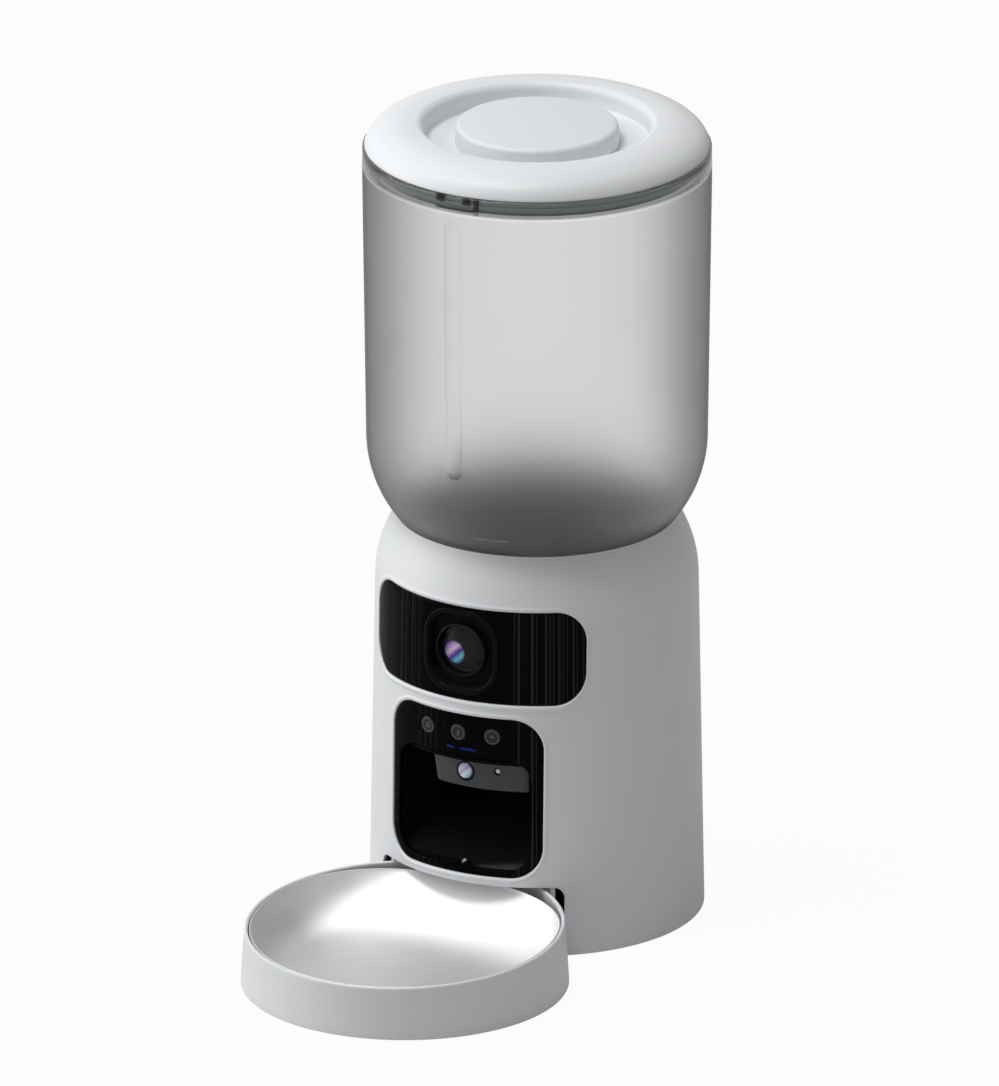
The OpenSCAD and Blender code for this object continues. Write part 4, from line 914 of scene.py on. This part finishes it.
tank = Skin(tank_outline, 89.0)
tank_step = 360 / tank_steps
*_, holes = tank.tube([(t, 0.0) for t in spaced(-180, 180, tank_step)], tank_outline.length,
                      tank_step, [strip_edge(0.7, 0)], 0)
strip_floor, _ = tank.patch(strip_edge(-0.3, -0.5), [],
                            [(0, v) for v in spaced(0, tank_outline.length, 5)], -0.5)
tank.bands(holes[0], [(strip_edge(0.4, -0.03), -0.03), (strip_edge(0.15, -0.15), -0.15),
                      (strip_edge(0.0, -0.38), -0.38)], strip_floor)
rim_cx = tank_outline.points[-1][0] - rim_r
inner_low = math.degrees(math.acos((neck_r - tank_wall - tank_round_cx)
                                   / (tank_round_r - tank_wall)))
tank_section = (
    arc(rim_cx, tank_rim_z - rim_r, rim_r, 0, 180, 8)
    + arc(tank_round_cx, tank_round_z, tank_round_r - tank_wall, 0, -inner_low, 24)
    + rounded([(neck_r - tank_wall, neck_z + 6, 0), (neck_r - tank_wall, neck_z, 0.8),
               (neck_r, neck_z, 0.8), (neck_r, neck_z + 5, 0)])[1:-1]
    + arc(tank_round_cx, tank_round_z, tank_round_r, -neck_meets, 0, 30))
more_spots, more_faces = turned(tank_section, upright, tank_steps, closed=False)


def joined(*parts):
    """The spots and faces of several parts as one."""
    spots, faces = [], []
    for some_spots, some_faces in parts:
        faces += [[k + len(spots) for k in face] for face in some_faces]
        spots += some_spots
    return spots, faces


smoke = Finish("smoked_hopper", Transmission_Weight=1.0, IOR=1.33, Specular_IOR_Level=0.5)
tank_side, tank_ahead, tank_height = smoke.here()
tank_turn = tank_side.turn(tank_ahead)
clear_band = tank_height.step(407.2, 407.7)
edge_on = smoke.node("ShaderNodeLayerWeight", {}, 0.5, output="Facing")
frosted = smoke.mix(((edge_on - 0.2).most(0.0) ** 1.4 * 1.9).least(1.0),
                    (0.86, 0.86, 0.86), (0.072, 0.073, 0.073))
# A paler line just under the clear band is a painted highlight along the ledge.
frosted = smoke.mix(tank_height.step(405.6, 406.4), frosted, (1.0, 1.0, 1.0))
# Painted shade: the clear band is darker below 410 mm, and dark spots are painted on it where
# the lid's lugs and a stop lie behind it in shade.
band_tint_and_painted_shade = smoke.mix(tank_height.step(409.6, 410.4), (0.34, 0.355, 0.35),
                      (0.72, 0.745, 0.735))
for turn, half, low in ((-4.8, 1.5, 412.6), (5.0, 1.4, 412.6), (8.4, 0.8, 400.0)):
    painted_lug_shade = ((tank_turn - turn).size() / half).most((low - tank_height) * 0.6 + 1)
    band_tint_and_painted_shade = smoke.mix(1 - painted_lug_shade.step(0.8, 1.3), band_tint_and_painted_shade, (0.17, 0.175, 0.175))
smoke.feed("Base Color", smoke.mix(clear_band, frosted, band_tint_and_painted_shade))
smoke.feed("Roughness", (0.38 + 0.06 * smoke.grain(0.4, 3)) * (1 - clear_band)
           + 0.12 * clear_band)
smoke.bump(smoke.grain(1.6, 3), 0.004)
piece("hopper_body", *joined((tank.spots, tank.faces), (more_spots, more_faces)), smoke,
      "hopper", "smoked_hopper", "hopper_tank")

# Marks on the hopper.
# A pointer and two dashes are printed in pale ink low on the front. They show how far to
# turn the hopper until it locks in its seat.
low_wall = Outline(arc(tank_round_cx, tank_round_z, tank_round_r, -60, 0, 60))
marks = Skin(low_wall)
for shape in (((-8.4, 224.2), (-5.6, 224.2), (-7.0, 226.4)),
              ((5.0, 226.4), (10.4, 226.4), (10.4, 227.4), (5.0, 227.4)),
              ((12.2, 226.4), (19.0, 226.4), (19.0, 227.4), (12.2, 227.4))):
    edge = subdivided([(t, low_wall.v_of(z)) for t, z in shape], 0.6)
    front, _ = marks.patch(edge, [], [], 0.06, reach=0.2)
    back, _ = marks.patch(edge, [], [], -0.02, False, reach=0.2)
    marks.strip(front, back)
pale_ink = Finish("pale_ink")
pale_ink.colour(pale_ink.grain(2.0), (0.20, 0.20, 0.20), (0.25, 0.25, 0.25))
pale_ink.rough(0.5, 0.2, 3.0)
piece("hopper_marks", marks.spots, marks.faces, pale_ink, "hopper", "smoked_hopper", "")


# Lid.
# A puffed white ring with a finger channel in it, moulded hollow. It drops over the rim of
# the hopper, and its edge ends flush above the tank's wall.
lid_z, lid_edge, lid_edge_cx, lid_edge_z = 416.788, 13.2, 76.6, 413.588
crest_r, crest_cx, crest_cz, lid_turn = 31.3, 67.825, 397.757, 61.0
crest_z, lip, channel_r, channel_z, lid_wall = 429.057, 4.0, 59.0, 417.757, 2.4
liner_r, liner_top, pack_hole_r, skirt_r = 86.19, 410.3, 35.3, 87.95
edge_start = math.degrees(math.asin((lid_z - lid_edge_z) / lid_edge))
flange_turn = math.degrees(math.asin((lid_z + 1 - lid_edge_z) / (lid_edge - lid_wall)))
lid_section = (
    rounded([(skirt_r - 1.8, lid_z, 0),
             (lid_edge_cx + math.sqrt(lid_edge ** 2 - 3.2 ** 2), lid_z, 0.35),
             (lid_edge_cx + lid_edge * math.cos(math.radians(edge_start + 6)),
              lid_edge_z + lid_edge * math.sin(math.radians(edge_start + 6)), 0)])
    + arc(lid_edge_cx, lid_edge_z, lid_edge, edge_start + 8, lid_turn, 12)
    + arc(crest_cx, crest_cz, crest_r, lid_turn, 90, 12)[1:]
    + arc(channel_r + lip, crest_z - lip, lip, 90, 180, 10)
    + rounded([(channel_r, crest_z - lip - 1, 0), (channel_r, channel_z, 1.2),
               (pack_hole_r, channel_z, 0.2), (pack_hole_r, channel_z - lid_wall, 0.2),
               (channel_r + lid_wall, channel_z - lid_wall, 0.3),
               (channel_r + lid_wall, crest_z - lip - 1, 0)])
    + arc(channel_r + lip, crest_z - lip, lip - lid_wall, 180, 90, 5)
    + arc(crest_cx, crest_cz, crest_r - lid_wall, 90, lid_turn, 8)
    + arc(lid_edge_cx, lid_edge_z, lid_edge - lid_wall, lid_turn, flange_turn, 8)[1:]
    + rounded([(liner_r - lid_wall, lid_z + 1, 0.2), (liner_r - lid_wall, liner_top, 0.3),
               (liner_r, liner_top, 0.3), (liner_r, lid_z - 0.6, 0)]))
lid_white = white_plastic("lid_white", (0.80, 0.815, 0.83))
piece("lid_ring", *turned(lid_section, upright, 192), lid_white, "lid", "lid_white",
      "lid_shell")


# Lid grip.
# A round cap in the middle of the channel, closed on top, with a soft edge. It is what
# fingertips close on, and it is welded to the floor of the channel.
grip_foot, grip_top = 42.6, 428.36
grip_section = rounded([
    (0, channel_z + 7.8, 0), (39.6, channel_z + 7.8, 1.2), (40.2, channel_z, 0.3),
    (grip_foot, channel_z, 0.2), (42.1, grip_top, 2.6), (0, grip_top, 0)], 6)
grip_white = white_plastic("grip_white", (0.77, 0.79, 0.80))
piece("lid_grip_cap", *turned(grip_section, upright, 144), grip_white, "lid", "lid_grip")


# Feed tray.
# A white moulded tray that docks under the arch. Its rim climbs gently towards the column,
# and ribs on its floor carry the bowl.
tray_r, tray_taper, tray_rim_z, tray_z = 85.0, 2.0, 33.0, 1.0
tray_low, tray_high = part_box("feed_tray")
tray_y = (tray_low.y + tray_high.y) / 2 / MM
tray_climb = math.tan(math.radians(3.0))
tray_taper_rate = tray_taper / (tray_rim_z - tray_z)


def tray_place(r, h, t):
    """Places a turned tray. Its upper part is lifted to follow the tilted rim."""
    lift = -r * math.cos(t) * tray_climb * max(0.0, min(1.0, (h - 10) / 18))
    r -= lift * tray_taper_rate
    return Vector((r * math.sin(t), tray_y - r * math.cos(t), h + lift)) * MM


def tray_r_at(z):
    return tray_r - (z - tray_z) * tray_taper_rate


tray_wall, tray_floor_z = 2.0, 3.5
tray_section = rounded(
    [(0, tray_z, 0), (tray_r - 0.02, tray_z, 0.8)]
    + [(tray_r_at(z), z, 0) for z in range(6, 31, 3)]
    + [(tray_r_at(tray_rim_z), tray_rim_z, 0.95),
       (tray_r_at(tray_rim_z) - tray_wall, tray_rim_z, 0.95)]
    + [(tray_r_at(z) - tray_wall, z, 0) for z in range(30, 8, -3)]
    + [(tray_r_at(tray_floor_z) - tray_wall, tray_floor_z, 2.0), (0, tray_floor_z, 0)], 6)
ribs = [turned([(r - 1.8, tray_floor_z - 0.5), (r, tray_floor_z - 0.5), (r, 7.2),
                (r - 1.8, 7.2)], tray_place, 96) for r in (30, 54)]
tray_white = white_plastic("tray_white", (0.80, 0.815, 0.83))
piece("tray_shell", *joined(turned(tray_section, tray_place, 192), *ribs), tray_white,
      "tray", "tray_white", "feed_tray")


# Steel bowl.
# Pressed from 0.8 mm stainless sheet: a flat floor, a wide bend, an upright wall, and a
# slightly hollow ramp under the arch. The wall runs into the ramp in a soft valley.
sheet, bowl_wall_r, bowl_floor_z, bowl_bend = 0.8, 79.8, 8.0, 20.0
ramp_foot, ramp_slope, ramp_blend, ramp_hollow = 37.0, math.radians(41.8), 12.0, 0.002
bowl_rim_z = tray_rim_z - 1


def to_bowl(x, y, z):
    """Distance from a point inside the bowl to the nearest sheet, softened in the valley."""
    r, bend_cx, bend_cz = math.hypot(x, y), bowl_wall_r - bowl_bend, bowl_floor_z + bowl_bend
    if r > bend_cx and z < bend_cz:
        dish = bowl_bend - math.hypot(r - bend_cx, z - bend_cz)
    else:
        dish = min(bowl_wall_r - r, z - bowl_floor_z)
    ramp = ((z - bowl_floor_z) * math.cos(ramp_slope)
            - (y - ramp_foot) * math.sin(ramp_slope) - ramp_hollow * x * x)
    soft = max(ramp_blend - abs(dish - ramp), 0.0) / ramp_blend
    return min(dish, ramp) - soft * soft * ramp_blend / 4


def pushed(p, depth):
    """A point of the sheet moved out through it by a depth."""
    step = 0.05
    slope = Vector([(to_bowl(*(p + d)) - to_bowl(*(p - d))) / (2 * step)
                    for d in (Vector((step, 0, 0)), Vector((0, step, 0)),
                              Vector((0, 0, step)))])
    return p - slope.normalized() * depth


def blended(one, other, a):
    """A point of the rounded rim between the sheet's two sides, at an angle over it."""
    return (one.lerp(other, 0.5 - 0.5 * math.cos(a))
            + Vector((0, 0, sheet / 2 * math.sin(a))))


bowl_turns = 240
profile = [(r, bowl_floor_z) for r in spaced(2.4, bowl_wall_r - bowl_bend, 2.4)]
profile += arc(bowl_wall_r - bowl_bend, bowl_floor_z + bowl_bend, bowl_bend, -90, 0, 14)[1:]
profile = [math.atan2(r, bowl_rim_z - z) for r, z in profile]
profile += [profile[-1] + (math.pi / 2 - profile[-1]) * k / 3 for k in (1, 2, 3)]
focus = Vector((0, 0, bowl_rim_z))


def found(fall, t):
    """Where a ray from the middle of the rim meets the sheet, at a fall and a turn."""
    out = Vector((math.sin(t), -math.cos(t), -math.cos(t) * tray_climb)).normalized()
    way = Vector((0, 0, -1)) * math.cos(fall) + out * math.sin(fall)
    short, far = 0.0, 110.0
    for _ in range(26):
        middle = (short + far) / 2
        if to_bowl(*(focus + way * middle)) > 0:
            short = middle
        else:
            far = middle
    return focus + way * short


inside_rows = [[found(fall, 2 * math.pi * k / bowl_turns) for k in range(bowl_turns)]
               for fall in profile]
outside_rows = [[pushed(spot, sheet) for spot in row] for row in inside_rows]
lip_rows = [[blended(one, other, math.radians(a))
             for one, other in zip(inside_rows[-1], outside_rows[-1])]
            for a in (30, 60, 90, 120, 150)]
bowl_rows = ([[Vector((0, 0, bowl_floor_z))] * bowl_turns] + inside_rows + lip_rows
             + outside_rows[::-1] + [[Vector((0, 0, bowl_floor_z - sheet))] * bowl_turns])
bowl_spots = [(p + Vector((0, tray_y, 0))) * MM for row in bowl_rows for p in row]
bowl_faces = [(j * bowl_turns + k, j * bowl_turns + (k + 1) % bowl_turns,
               (j + 1) * bowl_turns + (k + 1) % bowl_turns, (j + 1) * bowl_turns + k)
              for j in range(len(bowl_rows) - 1) for k in range(bowl_turns)]
steel = Finish("bowl_steel", Metallic=1.0)
steel_side, steel_ahead, steel_up = steel.here()
from_axis = (steel_side ** 2 + (steel_ahead - column_y + tray_y) ** 2) ** 0.5
brushing = steel.grain(2.2, 3, (from_axis, 0, steel_up))
steel.colour(steel.grain(0.03, 3), (0.74, 0.74, 0.745), (0.80, 0.80, 0.805))
steel.feed("Roughness", 0.52 + 0.1 * brushing).bump(brushing, 0.002)
piece("bowl_sheet", bowl_spots, bowl_faces, steel, "tray", "bowl_steel", "steel_bowl", 45)


# Pieces kept from the construction.
# What is hidden in the column, or lies flat under it, keeps its built shape and is only
# given the look of what it is made of.
def kept(finish, *names):
    for name in names:
        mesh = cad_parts[name].data
        mesh.materials.clear()
        mesh.materials.append(finish.material)


def moulded(name, tint, spread, shine, grain=2.5, depth=0.006, gloss=0.5):
    """A moulded plastic or rubber between a tint and one lighter by the spread."""
    made = Finish(name, IOR=1.46, Specular_IOR_Level=gloss)
    made.colour(made.grain(0.05, 3), tint, tuple(c + spread for c in tint))
    return made.rough(shine, 0.12, 0.8).bump(made.grain(grain, 3), depth)


def metal(name, dark, light, shine):
    """A bare metal with fine drawing lines along its height."""
    made = Finish(name, Metallic=1.0)
    side, ahead, up = made.here()
    lines = made.grain(1.2, 3, (side * 4, (column_y - ahead) * 4, up * 0.3))
    made.colour(lines, dark, light).feed("Roughness", shine + 0.15 * lines)
    return made.bump(lines, 0.003)


for nodes, name, *look in (
        (["base_plate"], "base_plate_plastic", (0.52, 0.53, 0.54), 0.04, 0.45),
        (["battery_door"], "battery_door_plastic", (0.55, 0.56, 0.57), 0.04, 0.42),
        (["rubber_feet"], "foot_rubber", (0.030, 0.030, 0.031), 0.012, 0.72, 1.5, 0.02),
        (["tray_feet"], "tray_foot_rubber", (0.10, 0.10, 0.105), 0.03, 0.70, 1.5, 0.02),
        (["lid_seal", "outlet_seal"], "seal_rubber", (0.29, 0.30, 0.30), 0.02, 0.55, 1.5,
         0.01),
        (["hopper_seat"], "seat_plastic", (0.15, 0.153, 0.153), 0.02, 0.5),
        (["rotor_chamber"], "chamber_plastic", (0.035, 0.036, 0.036), 0.01, 0.5),
        (["portion_baffle"], "baffle_plastic", (0.10, 0.10, 0.105), 0.02, 0.5),
        (["tray_dock"], "dock_plastic", (0.78, 0.79, 0.80), 0.04, 0.5),
        (["battery_box"], "box_plastic", (0.05, 0.05, 0.052), 0.01, 0.5),
        (["rotor_hub"], "hub_acetal", (0.62, 0.62, 0.60), 0.06, 0.35),
        (["drive_gear"], "gear_acetal", (0.66, 0.65, 0.60), 0.05, 0.33),
        (["motor_pinion"], "pinion_acetal", (0.05, 0.05, 0.052), 0.01, 0.35),
        (["rotor_paddles"], "paddle_silicone", (0.42, 0.43, 0.43), 0.06, 0.6),
        (["lid_liner"], "liner_plastic", (0.24, 0.25, 0.25), 0.02, 0.45),
        (["desiccant_cover"], "desiccant_cover_plastic", (0.62, 0.63, 0.64), 0.04, 0.42),
        (["desiccant_pack"], "desiccant_fleece", (0.66, 0.66, 0.64), 0.10, 0.85, 0.8, 0.08),
        (["speaker"], "speaker_cone", (0.015, 0.015, 0.015), 0.015, 0.8, 1.0, 0.03),
        (["power_socket"], "socket_plastic", (0.02, 0.02, 0.021), 0.008, 0.4),
        (["status_light"], "light_lens", (0.66, 0.70, 0.74), 0.10, 0.2)):
    kept(moulded(name, *look), *nodes)
for nodes, name, *look in (
        (["base_screws"], "screw_steel", (0.45, 0.45, 0.46), (0.6, 0.6, 0.61), 0.28),
        (["rotor_shaft", "motor_shaft"], "shaft_steel", (0.5, 0.5, 0.51), (0.62, 0.62, 0.63),
         0.2),
        (["battery_contacts"], "contact_nickel", (0.6, 0.58, 0.52), (0.72, 0.70, 0.64), 0.25),
        (["gear_motor", "motor_bracket"], "motor_zinc", (0.42, 0.43, 0.44),
         (0.55, 0.56, 0.57), 0.38),
        (["shaft_bush"], "bush_bronze", (0.42, 0.24, 0.10), (0.58, 0.36, 0.17), 0.35)):
    kept(metal(name, *look), *nodes)

# The chute's black wall is painted lighter grey low at its right, near the sill, as a painted
# highlight.
chute = moulded("chute_plastic", (0.002, 0.002, 0.0025), 0.001, 0.55, gloss=0.04)
side, ahead, up = chute.here()
from_column = (side ** 2 + ahead ** 2) ** 0.5
painted_sill_highlight = from_column.step(77, 81) * (1 - up.step(46, 51)) * side.step(6, 16)
kept(chute.colour(painted_sill_highlight, (0.0025, 0.0025, 0.003), (0.05, 0.05, 0.052)), "chute_liner")

# The boards are green, with lighter tracks under their lacquer.
board = Finish("board_green", IOR=1.5)
tracks = board.node("ShaderNodeTexBrick", {"offset": 0.5}, board.place(), output=1,
                    Scale=160.0)
board.colour(tracks, (0.010, 0.070, 0.028), (0.016, 0.100, 0.042)).rough(0.32, 0.15, 0.7)
kept(board, "camera_board", "key_board", "main_board")
